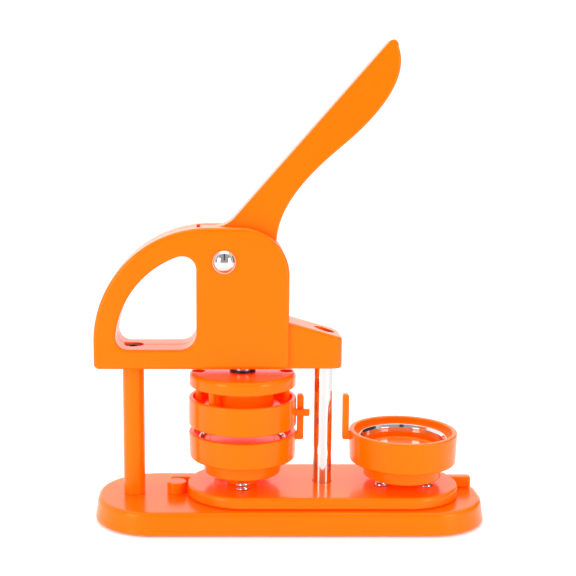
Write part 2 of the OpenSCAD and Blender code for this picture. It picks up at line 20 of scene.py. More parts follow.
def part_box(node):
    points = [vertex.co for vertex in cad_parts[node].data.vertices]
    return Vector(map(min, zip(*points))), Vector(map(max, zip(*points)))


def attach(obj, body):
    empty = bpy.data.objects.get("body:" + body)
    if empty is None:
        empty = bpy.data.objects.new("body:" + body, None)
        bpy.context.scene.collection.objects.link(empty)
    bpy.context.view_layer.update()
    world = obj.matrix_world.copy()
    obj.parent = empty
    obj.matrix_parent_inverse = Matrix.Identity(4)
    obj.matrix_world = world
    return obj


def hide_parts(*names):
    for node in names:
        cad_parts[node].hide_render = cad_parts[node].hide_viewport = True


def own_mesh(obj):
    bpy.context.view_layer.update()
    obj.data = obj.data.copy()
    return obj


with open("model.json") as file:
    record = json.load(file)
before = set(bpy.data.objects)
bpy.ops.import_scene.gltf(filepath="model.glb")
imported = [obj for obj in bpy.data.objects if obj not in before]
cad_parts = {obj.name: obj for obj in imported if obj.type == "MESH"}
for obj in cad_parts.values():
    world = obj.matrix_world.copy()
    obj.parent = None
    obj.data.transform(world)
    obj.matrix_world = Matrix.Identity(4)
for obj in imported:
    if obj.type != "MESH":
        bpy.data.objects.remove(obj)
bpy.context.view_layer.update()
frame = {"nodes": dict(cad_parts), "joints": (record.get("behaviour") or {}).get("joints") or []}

MM = 0.001
ROUND = 96
CREASE = 32.0
log = logging.getLogger("badge_press")

Array = np.ndarray
Point = tuple[float, float]


# ---------------------------------------------------------------- outlines


def arc(centre: Point, radius: float, start: float, end: float, count: int) -> Array:
    """Points on a circle: centre + radius (cos a, sin a), with a even from start to end.

    Args:
        centre: Centre of the circle.
        radius: Radius of the circle.
        start: First angle, degrees.
        end: Last angle, degrees.
        count: Number of points.

    Returns:
        Array of shape (count, 2).
    """
    angle = np.radians(np.linspace(start, end, count))
    return np.array(centre) + radius * np.stack([np.cos(angle), np.sin(angle)], 1)


def cubic(a: Point, b: Point, c: Point, d: Point, count: int) -> Array:
    """Points on a cubic curve: (1-t)^3 a + 3(1-t)^2 t b + 3(1-t) t^2 c + t^3 d.

    Args:
        a: Start.
        b: Handle at the start.
        c: Handle at the end.
        d: End.
        count: Number of points.

    Returns:
        Array of shape (count, 2).
    """
    t = np.linspace(0, 1, count)[:, None]
    a, b, c, d = (np.array(p, float) for p in (a, b, c, d))
    return (1 - t) ** 3 * a + 3 * (1 - t) ** 2 * t * b + 3 * (1 - t) * t * t * c + t**3 * d


def line(a: Point, b: Point, count: int) -> Array:
    """Points on a straight line: a + (b - a) t.

    Args:
        a: Start.
        b: End.
        count: Number of points.

    Returns:
        Array of shape (count, 2).
    """
    return np.linspace(np.array(a, float), np.array(b, float), count)


def rounded(points: list[Point], radii: list[float], count: int = 6) -> Array:
    """A chain of corners, each turned into an arc that touches both of its sides.

    The arc's centre lies on the corner's bisector, radius / sin(half angle) away, and its
    ends lie radius / tan(half angle) along the sides. A radius of 0 leaves the corner.

    Args:
        points: Corners in order. First and last are joined only if the caller closes it.
        radii: Radius at each corner.
        count: Points on each arc.

    Returns:
        Array of shape (n, 2).
    """
    corners = np.array(points, float)
    parts = []
    for i, radius in enumerate(radii):
        here = corners[i]
        if radius <= 0:
            parts.append(here[None])
            continue
        back = corners[i - 1] - here
        ahead = corners[(i + 1) % len(corners)] - here
        back, ahead = back / np.linalg.norm(back), ahead / np.linalg.norm(ahead)
        half = math.acos(float(np.clip(back @ ahead, -1, 1))) / 2
        middle = (back + ahead) / np.linalg.norm(back + ahead)
        centre = here + middle * radius / math.sin(half)
        first = here + back * radius / math.tan(half) - centre
        last = here + ahead * radius / math.tan(half) - centre
        start = math.degrees(math.atan2(first[1], first[0]))
        sweep = math.degrees(math.atan2(last[1], last[0])) - start
        sweep = (sweep + 180) % 360 - 180
        parts.append(arc(tuple(centre), radius, start, start + sweep, count))
    return np.concatenate(parts)


def inset(loop: Array, depth: float | Array) -> Array:
    """A closed outline moved inwards: each point goes along its mitre by depth.

    The mitre is (n1 + n2) / (1 + n1.n2), where n1 and n2 are the inward normals of the two
    sides that meet at the point.

    Args:
        loop: Outline, shape (n, 2), either way round, with no repeated points.
        depth: Distance, one for all or one per point. Negative goes outwards.

    Returns:
        Array of shape (n, 2).
    """
    ahead = np.roll(loop, -1, 0) - loop
    area = np.sum(loop[:, 0] * np.roll(loop[:, 1], -1) - np.roll(loop[:, 0], -1) * loop[:, 1])
    normal = np.stack([-ahead[:, 1], ahead[:, 0]], 1) * np.sign(area)
    normal /= np.linalg.norm(normal, axis=1, keepdims=True)
    before = np.roll(normal, 1, 0)
    mitre = (normal + before) / (1 + np.sum(normal * before, 1, keepdims=True))
    return loop + mitre * np.broadcast_to(depth, len(loop))[:, None]


def edge_steps(radius: float, steps: int = 5) -> list[Point]:
    """A quarter round, from the flat face to the side: (1 - sin a, 1 - cos a) radius.

    Args:
        radius: Radius of the round.
        steps: Points on the quarter.

    Returns:
        Pairs of (how far in from the side, how far down from the face).
    """
    angle = np.linspace(0, math.pi / 2, steps)
    return list(zip(radius * (1 - np.sin(angle)), radius * (1 - np.cos(angle))))


# ---------------------------------------------------------------- surfaces


def grid_faces(rows: int, columns: int, start: int, wrap: bool = False) -> Array:
    """Four-sided faces of a grid whose columns close round on themselves.

    Args:
        rows: Number of rows of points.
        columns: Points in a row.
        start: Index of the first point.
        wrap: True if the last row joins the first.

    Returns:
        Array of shape (n, 4).
    """
    i, j = np.meshgrid(np.arange(rows if wrap else rows - 1), np.arange(columns), indexing="ij")
    down, right = (i + 1) % rows, (j + 1) % columns
    corners = [i * columns + j, i * columns + right, down * columns + right, down * columns + j]
    return np.stack([c.ravel() for c in corners], 1) + start


@dataclass
class Shape:
    """Points and faces of a mesh that is still being made, in millimetres."""

    points: Array
    faces: list[tuple[int, ...]]

    def moved(self, x: float, y: float, z: float) -> "Shape":
        """The same shape, shifted."""
        return Shape(self.points + np.array([x, y, z]), self.faces)

    def turned(self, degrees: float) -> "Shape":
        """The same shape, turned about the Z axis: x' = x cos - y sin, y' = x sin + y cos."""
        c, s = math.cos(math.radians(degrees)), math.sin(math.radians(degrees))
        return Shape(self.points @ np.array([[c, s, 0], [-s, c, 0], [0, 0, 1]]), self.faces)

    def tipped_back(self) -> "Shape":
        """The same shape with its Z axis laid along -Y: (x, y, z) becomes (x, -z, y)."""
        return Shape(self.points[:, [0, 2, 1]] * np.array([1, -1, 1]), self.faces)

    def mirrored(self) -> "Shape":
        """The same shape seen in the plane Y = 0."""
        return Shape(self.points * np.array([1, -1, 1]), self.faces)

    def with_shape(self, other: "Shape") -> "Shape":
        """This shape and another one in one mesh."""
        shift = len(self.points)
        more = [tuple(i + shift for i in f) for f in other.faces]
        return Shape(np.concatenate([self.points, other.points]), list(self.faces) + more)

    def piece(self, name: str) -> bpy.types.Object:
        """Makes the Blender object, with doubles merged and every face outwards.

        Args:
            name: Name of the piece.

        Returns:
            The new object, at the origin.
        """
        mesh = bpy.data.meshes.new(name)
        mesh.from_pydata((self.points * MM).tolist(), [], [tuple(f) for f in self.faces])
        work = bmesh.new()
        work.from_mesh(mesh)
        bmesh.ops.remove_doubles(work, verts=work.verts, dist=1e-6)
        bmesh.ops.dissolve_degenerate(work, edges=work.edges, dist=1e-7)
        bmesh.ops.recalc_face_normals(work, faces=work.faces)
        work.to_mesh(mesh)
        work.free()
        made = bpy.data.objects.new(name, mesh)
        bpy.context.scene.collection.objects.link(made)
        return made


def lathe(profile: Array, closed: bool = True, count: int = ROUND) -> Shape:
    """A turned form: each profile point (r, z) goes round to (r cos a, r sin a, z).

    Args:
        profile: Points (r, z). Open profiles start and end on the axis.
        closed: True for a ring, whose last point joins its first.
        count: Points round the axis.

    Returns:
        The closed surface.
    """
    angle = np.linspace(0, 2 * math.pi, count, endpoint=False)
    r, z = profile[:, :1], profile[:, 1:]
    points = np.stack([r * np.cos(angle), r * np.sin(angle), z + 0 * angle], -1)
    faces = grid_faces(len(profile), count, 0, closed)
    return Shape(points.reshape(-1, 3), faces.tolist())


def knob(corners: list[Point], radii: list[float], count: int = ROUND) -> Shape:
    """A turned solid with no bore: corners (r, z) are rounded, and both ends meet the axis."""
    return lathe(rounded(corners, radii), False, count)


def sleeve(corners: list[Point], radii: list[float], count: int = ROUND) -> Shape:
    """A turned ring: corners (r, z) of its section are rounded and closed."""
    return lathe(rounded(corners, radii), True, count)


def bar(radius: float, low: float, high: float, rounds: Point = (0, 0), count: int = 64) -> Shape:
    """A round bar on the Z axis, its lower and upper edges rounded."""
    corners = [(0, low), (radius, low), (radius, high), (0, high)]
    return knob(corners, [0, *rounds, 0], count)


def tube(bore: float, radius: float, low: float, high: float, rounds: list[float],
         count: int = ROUND) -> Shape:
    """A round tube on the Z axis, its section's corners rounded, from the lower bore outwards."""
    return sleeve([(bore, low), (radius, low), (radius, high), (bore, high)], rounds, count)


def oblong(x0: float, x1: float, y0: float, y1: float, rounds: list[float]) -> Array:
    """An outline with four corners, each with its own round, anticlockwise from (x0, y0)."""
    return rounded([(x0, y0), (x1, y0), (x1, y1), (x0, y1)], rounds)


def stack(levels: Array, holes: tuple[Array, ...] = ()) -> Shape:
    """A solid from closed outlines laid one after another, with flat ends.

    Point (level, i) of each outline joins point (level + 1, i), and the first and the last
    outline are filled, less the first and the last outline of each hole.

    Args:
        levels: Outer outlines, shape (levels, n, 3).
        holes: The same for each hole, with as many levels as it needs.

    Returns:
        The closed surface.
    """
    points, faces, ends = [], [], ([], [])
    start = 0
    for wall in [levels, *holes]:
        rows, columns = wall.shape[:2]
        points.append(wall.reshape(-1, 3))
        faces += grid_faces(rows, columns, start).tolist()
        ends[0].append((start, wall[0]))
        ends[1].append((start + (rows - 1) * columns, wall[-1]))
        start += rows * columns
    for end in ends:
        index = np.concatenate([first + np.arange(len(loop)) for first, loop in end])
        triangles = tessellate_polygon([[Vector(p) for p in loop] for _, loop in end])
        faces += index[np.array(triangles)].tolist()
    return Shape(np.concatenate(points), faces)


def standing(loops: list[Array], ys: list[float]) -> Array:
    """Outlines in X and Z, each put at its own Y: shape (levels, n, 3)."""
    rows = [np.column_stack([p[:, 0], np.full(len(p), y), p[:, 1]]) for p, y in zip(loops, ys)]
    return np.stack(rows)


def lying(loops: list[Array], zs: list[float]) -> Array:
    """Outlines in X and Y, each put at its own Z: shape (levels, n, 3)."""
    return np.stack([np.column_stack([p, np.full(len(p), z)]) for p, z in zip(loops, zs)])


def upright_plate(loop: Array, y0: float, y1: float, radius: float | Array) -> Shape:
    """An outline in X and Z made thick in Y, with a quarter round along both edges.

    Args:
        loop: Closed outline.
        y0: Front face.
        y1: Rear face.
        radius: Radius of the rounds, one for all or one per point.

    Returns:
        The closed surface.
    """
    steps = edge_steps(1.0, 6)
    reach = float(np.max(radius))
    front = [(inset(loop, radius * a), y0 + reach * b) for a, b in steps]
    rear = [(inset(loop, radius * a), y1 - reach * b) for a, b in steps[::-1]]
    loops, ys = zip(*(front + rear))
    return stack(standing(list(loops), list(ys)))


def flat_plate(loop: Array, z0: float, z1: float, low: float, high: float) -> Shape:
    """An outline in X and Y made thick in Z, with a quarter round along both edges.

    Args:
        loop: Closed outline.
        z0: Lower face.
        z1: Upper face.
        low: Radius of the lower round.
        high: Radius of the upper round.

    Returns:
        The closed surface.
    """
    under = [(inset(loop, a), z0 + b) for a, b in edge_steps(low)]
    over = [(inset(loop, a), z1 - b) for a, b in edge_steps(high)[::-1]]
    loops, zs = zip(*(under + over))
    return stack(lying(list(loops), list(zs)))


def helix(radius: float, wire: float, z0: float, z1: float, turns: float, sides: int = 10) -> Shape:
    """A compression spring: round wire carried along a helix, its end turns closed up.

    The centre line is (R cos a, R sin a, z(t)), where z rises by s - sin(2 pi s) / (2 pi)
    over the first and last turn, and each ring of the wire lies across the line's tangent.

    Args:
        radius: Mean radius of the coil.
        wire: Radius of the wire.
        z0: Lower end of the spring.
        z1: Upper end of the spring.
        turns: Number of turns.
        sides: Points round the wire.

    Returns:
        The closed surface.
    """
    t = np.linspace(0, 1, int(turns * 28))
    ease = np.clip(np.minimum(t, 1 - t) * turns, 0, 1)
    speed = 0.35 + 0.65 * ease * ease * (3 - 2 * ease)
    rise = np.concatenate([[0], np.cumsum((speed[1:] + speed[:-1]) / 2)])
    z = z0 + wire + (z1 - z0 - 2 * wire) * rise / rise[-1]
    a = 2 * math.pi * turns * t
    centre = np.stack([radius * np.cos(a), radius * np.sin(a), z], 1)
    along = np.gradient(centre, axis=0)
    along /= np.linalg.norm(along, axis=1, keepdims=True)
    out = np.stack([np.cos(a), np.sin(a), 0 * a], 1)
    up = np.cross(out, along)
    b = np.linspace(0, 2 * math.pi, sides, endpoint=False)[None, :, None]
    rings = centre[:, None] + wire * (np.cos(b) * out[:, None] + np.sin(b) * up[:, None])
    return stack(rings)


class Join(Enum):
    """Ways to combine two solids."""

    ADD = "UNION"
    CUT = "DIFFERENCE"


def combine(base: bpy.types.Object, how: Join, tools: list[Shape]) -> None:
    """Adds solids to a piece, or cuts them out of it, and keeps the result as its mesh.

    Args:
        base: The piece.
        how: Whether the tools are added or cut away.
        tools: Closed solids.
    """
    for i, tool in enumerate(tools):
        other = tool.piece(f"tool_{i}")
        change = base.modifiers.new("join", "BOOLEAN")
        change.operation = how.value
        change.solver = "EXACT"
        change.object = other
        seen = base.evaluated_get(bpy.context.evaluated_depsgraph_get())
        made = bpy.data.meshes.new_from_object(seen)
        base.modifiers.clear()
        old = base.data
        base.data = made
        bpy.data.meshes.remove(old)
        bpy.data.objects.remove(other)


# ---------------------------------------------------------------- shader maths


class Wire:
    """A shader value: sums and products written with it add their own Math nodes."""

    def __init__(self, graph: "Graph", socket: bpy.types.NodeSocket) -> None:
        """Keeps the graph and the output that the value comes from."""
        self.graph = graph
        self.socket = socket

    def _math(self, operation: str, first: "Wire | float", second: "Wire | float") -> "Wire":
        """One Math node on two values."""
        return self.graph.node("ShaderNodeMath", {"operation": operation}, {0: first, 1: second})

    def __add__(self, other: "Wire | float") -> "Wire":
        """self + other."""
        return self._math("ADD", self, other)

    def __radd__(self, other: float) -> "Wire":
        """other + self."""
        return self._math("ADD", other, self)

    def __mul__(self, other: "Wire | float") -> "Wire":
        """self * other."""
        return self._math("MULTIPLY", self, other)

    def __rmul__(self, other: float) -> "Wire":
        """other * self."""
        return self._math("MULTIPLY", other, self)


class Graph:
    """The node tree of one material, built from a Principled shader outwards."""

    def __init__(self, name: str) -> None:
        """Makes the material and finds its shader.

        Args:
            name: Name of the material.
        """
        self.material = bpy.data.materials.new(name)
        self.material.use_nodes = True
        self.tree = self.material.node_tree
        self.shader = self.tree.nodes["Principled BSDF"]

    def node(self, kind: str, settings: dict, inputs: dict, out: int | str = 0) -> Wire:
        """Adds a node.

        Args:
            kind: Blender's name of the node type.
            settings: Properties, set before anything is linked.
            inputs: Socket name or index to a Wire or a constant.
            out: Output to hand back.

        Returns:
            The chosen output.
        """
        made = self.tree.nodes.new(kind)
        for name, value in settings.items():
            setattr(made, name, value)
        for name, value in inputs.items():
            if isinstance(value, Wire):
                self.tree.links.new(value.socket, made.inputs[name])
            else:
                made.inputs[name].default_value = value
        return Wire(self, made.outputs[out])

    def place(self) -> Wire:
        """The piece's own coordinates, in metres."""
        return self.node("ShaderNodeTexCoord", {}, {}, "Object")

    def noise(self, scale: float, detail: float = 3.0, roughness: float = 0.5) -> Wire:
        """Smooth noise from 0 to 1, with so many bumps to the metre."""
        inputs = {"Vector": self.place(), "Scale": scale, "Detail": detail, "Roughness": roughness}
        return self.node("ShaderNodeTexNoise", {}, inputs, 0)

    def mix(self, factor: Wire, low: tuple, high: tuple) -> Wire:
        """A colour between two others."""
        inputs = {0: factor, 6: (*low, 1.0), 7: (*high, 1.0)}
        return self.node("ShaderNodeMix", {"data_type": "RGBA"}, inputs, 2)

    def bump(self, height: Wire, strength: float, depth_mm: float) -> Wire:
        """A normal bent by a height."""
        inputs = {"Height": height, "Strength": strength, "Distance": depth_mm * MM}
        return self.node("ShaderNodeBump", {}, inputs, 0)

    def feed(self, name: str, value: "Wire | float | tuple") -> None:
        """Links a value to the shader, or sets a constant on it.

        Args:
            name: Name of the shader's socket.
            value: What goes in.
        """
        if isinstance(value, Wire):
            self.tree.links.new(value.socket, self.shader.inputs[name])
        else:
            self.shader.inputs[name].default_value = value


# ---------------------------------------------------------------- finishes


@dataclass(frozen=True)
class MouldedPlastic:
    """Injection-moulded plastic: soft flow marks in its colour, a faint orange peel and dulling dust.

    The weak, even red glow is painted light: a constant emission that lifts the plastic's own shadows
    into saturated red, though the plastic is no lamp.
    """

    colour: tuple = (0.9, 0.15, 0.0)
    pale: tuple = (0.95, 0.165, 0.0)
    facing_tint: tuple = (1.0, 0.5, 0.2)
    # Painted light: a weak red emission that brightens the plastic's shaded faces.
    glow: tuple = (0.17, 0.002, 0.0)
    roughness: float = 0.2
    dulling: float = 0.1
    grain_mm: float = 0.9

    def material(self, name: str) -> bpy.types.Material:
        """Builds the material.

        Args:
            name: Name of the material.

        Returns:
            The material.
        """
        g = Graph(name)
        flow = g.noise(16.0, 2.0, 0.4)
        g.feed("Base Color", g.mix(flow, self.colour, self.pale))
        dust = g.noise(60.0, 4.0, 0.6)
        g.feed("Roughness", self.roughness - 0.4 * self.dulling + dust * self.dulling)
        peel = g.noise(1000.0 / self.grain_mm, 2.0, 0.5)
        g.feed("Normal", g.bump(peel + flow * 2.0, 0.12, 0.03))
        g.feed("Specular Tint", (*self.facing_tint, 1.0))
        # Painted light: the red glow, emitted evenly, lifts the plastic's shadows into saturated red.
        g.feed("Emission Color", (*self.glow, 1.0))
        g.feed("Emission Strength", 1.0)
        return g.material


@dataclass(frozen=True)
class PlatedMetal:
    """Bright plating: a mirror with thin smears that blur it here and there."""

    colour: tuple = (0.7, 0.68, 0.67)
    smeared: tuple = (0.64, 0.62, 0.61)
    roughness: float = 0.05

    def material(self, name: str) -> bpy.types.Material:
        """Builds the material.

        Args:
            name: Name of the material.

        Returns:
            The material.
        """
        g = Graph(name)
        smear = g.noise(120.0, 3.0, 0.6)
        g.feed("Base Color", g.mix(smear, self.colour, self.smeared))
        g.feed("Metallic", 1.0)
        g.feed("Roughness", self.roughness + smear * 0.05)
        g.feed("Normal", g.bump(g.noise(300.0, 2.0), 0.04, 0.02))
        return g.material


@dataclass(frozen=True)
class TurnedSteel:
    """Lathe-turned steel: fine feed lines round the part and a little staining."""

    colour: tuple = (0.56, 0.57, 0.59)
    stain: tuple = (0.42, 0.42, 0.43)
    roughness: float = 0.24
    lines_per_mm: float = 3.0

    def material(self, name: str) -> bpy.types.Material:
        """Builds the material.

        Args:
            name: Name of the material.

        Returns:
            The material.
        """
        g = Graph(name)
        stain = g.noise(90.0, 4.0, 0.6)
        g.feed("Base Color", g.mix(stain, self.colour, self.stain))
        g.feed("Metallic", 1.0)
        g.feed("Roughness", self.roughness + stain * 0.12)
        settings = {"wave_type": "BANDS", "bands_direction": "Z"}
        inputs = {"Vector": g.place(), "Scale": 1000.0 * self.lines_per_mm / 6.0, "Distortion": 0.6}
        turned = g.node("ShaderNodeTexWave", settings, inputs, "Fac")
        g.feed("Normal", g.bump(turned, 0.08, 0.02))
        return g.material


@dataclass(frozen=True)
class DarkCoating:
    """A dark, dull surface: black oxide on steel, rubber or grained black plastic."""

    colour: tuple = (0.018, 0.018, 0.02)
    pale: tuple = (0.04, 0.04, 0.043)
    roughness: float = 0.45
    metallic: float = 0.0
    grain_mm: float = 0.5
    relief: float = 0.25

    def material(self, name: str) -> bpy.types.Material:
        """Builds the material.

        Args:
            name: Name of the material.

        Returns:
            The material.
        """
        g = Graph(name)
        cloud = g.noise(140.0, 4.0, 0.6)
        g.feed("Base Color", g.mix(cloud, self.colour, self.pale))
        g.feed("Metallic", self.metallic)
        g.feed("Roughness", self.roughness + cloud * 0.12)
        g.feed("Normal", g.bump(g.noise(1000.0 / self.grain_mm, 3.0), self.relief, 0.04))
        return g.material


class Finish(Enum):
    """Every finish on the press, by the record's slot that it belongs to."""

    BODY = ("orange_body", MouldedPlastic())
    HANDLE = ("orange_handle", MouldedPlastic(roughness=0.22))
    PRESS = ("orange_press", MouldedPlastic(roughness=0.18))
    DIES = ("orange_dies", MouldedPlastic(roughness=0.18))
    COVER = ("base_cover", DarkCoating(roughness=0.55, grain_mm=0.7, relief=0.4))
    RUBBER = ("rubber", DarkCoating((0.012, 0.012, 0.012), (0.03, 0.03, 0.03), 0.78))
    CHROME = ("chrome", PlatedMetal())
    RING = ("polished_ring", PlatedMetal(roughness=0.07))
    STEEL = ("steel", TurnedSteel())
    SPRING = ("spring_steel", PlatedMetal((0.72, 0.73, 0.75), (0.6, 0.6, 0.62), 0.14))
    BLACK = ("black_steel", DarkCoating(metallic=0.7, roughness=0.34))
    BRONZE = ("bronze", TurnedSteel((0.62, 0.42, 0.2), (0.5, 0.32, 0.15)))

    @property
    def slot(self) -> str:
        """The record's slot."""
        return self.value[0]

    def material(self) -> bpy.types.Material:
        """The material, made once."""
        name = f"finish_{self.slot}"
        return bpy.data.materials.get(name) or self.value[1].material(name)


def dress(piece: bpy.types.Object, finish: Finish, body: str, *nodes: str) -> bpy.types.Object:
    """Gives a new piece its finish, body and slot, and smooths its rounds.

    Args:
        piece: The new piece.
        finish: Its finish.
        body: The CAD body that it moves with.
        nodes: CAD nodes that it stands for.

    Returns:
        The piece.
    """
    piece.data.materials.clear()
    piece.data.materials.append(finish.material())
    piece.data.shade_smooth()
    piece.data.set_sharp_from_angle(angle=math.radians(CREASE))
    weights = piece.modifiers.new("face_weights", "WEIGHTED_NORMAL")
    weights.keep_sharp = True
    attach(piece, body)
    if nodes:
        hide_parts(*nodes)
    log.info("%s: %d faces on %s", piece.name, len(piece.data.polygons), body)
    return piece


def refinish(finish: Finish, *nodes: str) -> None:
    """Gives CAD nodes whose shape is right their real finish.

    Args:
        finish: The finish.
        nodes: Names of the nodes.
    """
    for name in nodes:
        mesh = frame["nodes"][name].data
        mesh.materials.clear()
        mesh.materials.append(finish.material())
        log.info("%s: CAD shape in %s", name, finish.slot)


def centre_of(node: str) -> tuple[float, float]:
    """X and Y of the middle of a CAD node, in millimetres."""
    low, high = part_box(node)
    return ((low.x + high.x) / 2 / MM, (low.y + high.y) / 2 / MM)


def heights_of(node: str) -> tuple[float, float]:
    """Lowest and highest Z of a CAD node, in millimetres."""
    low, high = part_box(node)
    return (low.z / MM, high.z / MM)


# ---------------------------------------------------------------- base


@dataclass
class Base:
    """The drafted base moulding, its stop peg, cover and feet."""

    length: float = 290.0
    width: float = 98.0
    corner: float = 45.0
    draft: float = 2.3
    top: float = 17.4
    top_round: float = 3.4
    top_lap: float = 12.0
    wall: float = 3.3
    rebate: float = 2.2
    peg_r: float = 7.3
    # Radius and height of a rubber foot, then where the feet stand.
    pad: Point = (8.0, 1.2)
    feet: tuple = ((-108, 29), (-108, -29), (108, 29), (108, -29))

    def outline(self, depth: float) -> Array:
        """The plan, drawn in by depth: four corner arcs of (corner - depth) about fixed centres.

        Args:
            depth: Distance inside the plan's edge.

        Returns:
            The closed outline.
        """
        x, y = self.length / 2 - self.corner, self.width / 2 - self.corner
        turns = ((x, y, 0), (-x, y, 90), (-x, -y, 180), (x, -y, 270))
        arcs = [arc((cx, cy), self.corner - depth, a, a + 90, 20) for cx, cy, a in turns]
        return np.concatenate(arcs)

    def moulding(self) -> bpy.types.Object:
        """The shell: its section (depth, height) carried round the plan.

        Returns:
            The piece.
        """
        floor = heights_of("base_shell")[0]
        corners = [(self.wall, floor + self.rebate), (self.wall, floor), (0, floor),
                   (self.draft, self.top), (self.draft + self.top_lap, self.top)]
        section = rounded(corners, [0, 0.4, 1.0, self.top_round, 0], 7)
        loops = [self.outline(d) for d in section[:, 0]]
        return stack(lying(loops, list(section[:, 1]))).piece("base_moulding")

    def build(self) -> None:
        """Makes and dresses the pieces."""
        dress(self.moulding(), Finish.BODY, "root", "base_shell")
        peg = bar(self.peg_r, self.top, heights_of("stop_peg")[1], (0.3, 0.8))
        peg = peg.moved(*centre_of("stop_peg"), 0)
        dress(peg.piece("base_stop_peg"), Finish.BODY, "root", "stop_peg")
        radius, high = self.pad
        pad = bar(radius, 0, high, (0.5, 0.1), 40)
        pads = reduce(Shape.with_shape, [pad.moved(x, y, 0) for x, y in self.feet])
        dress(pads.piece("base_feet"), Finish.RUBBER, "root", "rubber_feet")
        refinish(Finish.COVER, "base_cover")
        refinish(Finish.BLACK, "cover_screws")


@dataclass
class Pillars:
    """The plastic column, the chrome post and what fastens them."""

    # Radius of the bore and of the outside.
    column: Point = (4.2, 8.0)
    post: Point = (4.0, 7.0)

    def build(self) -> None:
        """Makes and dresses the pieces."""
        column = tube(*self.column, *heights_of("column"), [0.2, 0.5, 0.5, 0.2], 72)
        column = column.moved(*centre_of("column"), 0)
        dress(column.piece("head_column"), Finish.BODY, "root", "column")
        post = tube(*self.post, *heights_of("chrome_post"), [0.2, 0.6, 0.6, 0.2])
        post = post.moved(*centre_of("chrome_post"), 0)
        dress(post.piece("post_rod"), Finish.CHROME, "root", "chrome_post")
        refinish(Finish.BLACK, "column_bolt", "post_top_bolt")
        refinish(Finish.STEEL, "column_nut", "post_bottom_bolt")
        refinish(Finish.BRONZE, "thrust_washer")


# ---------------------------------------------------------------- head


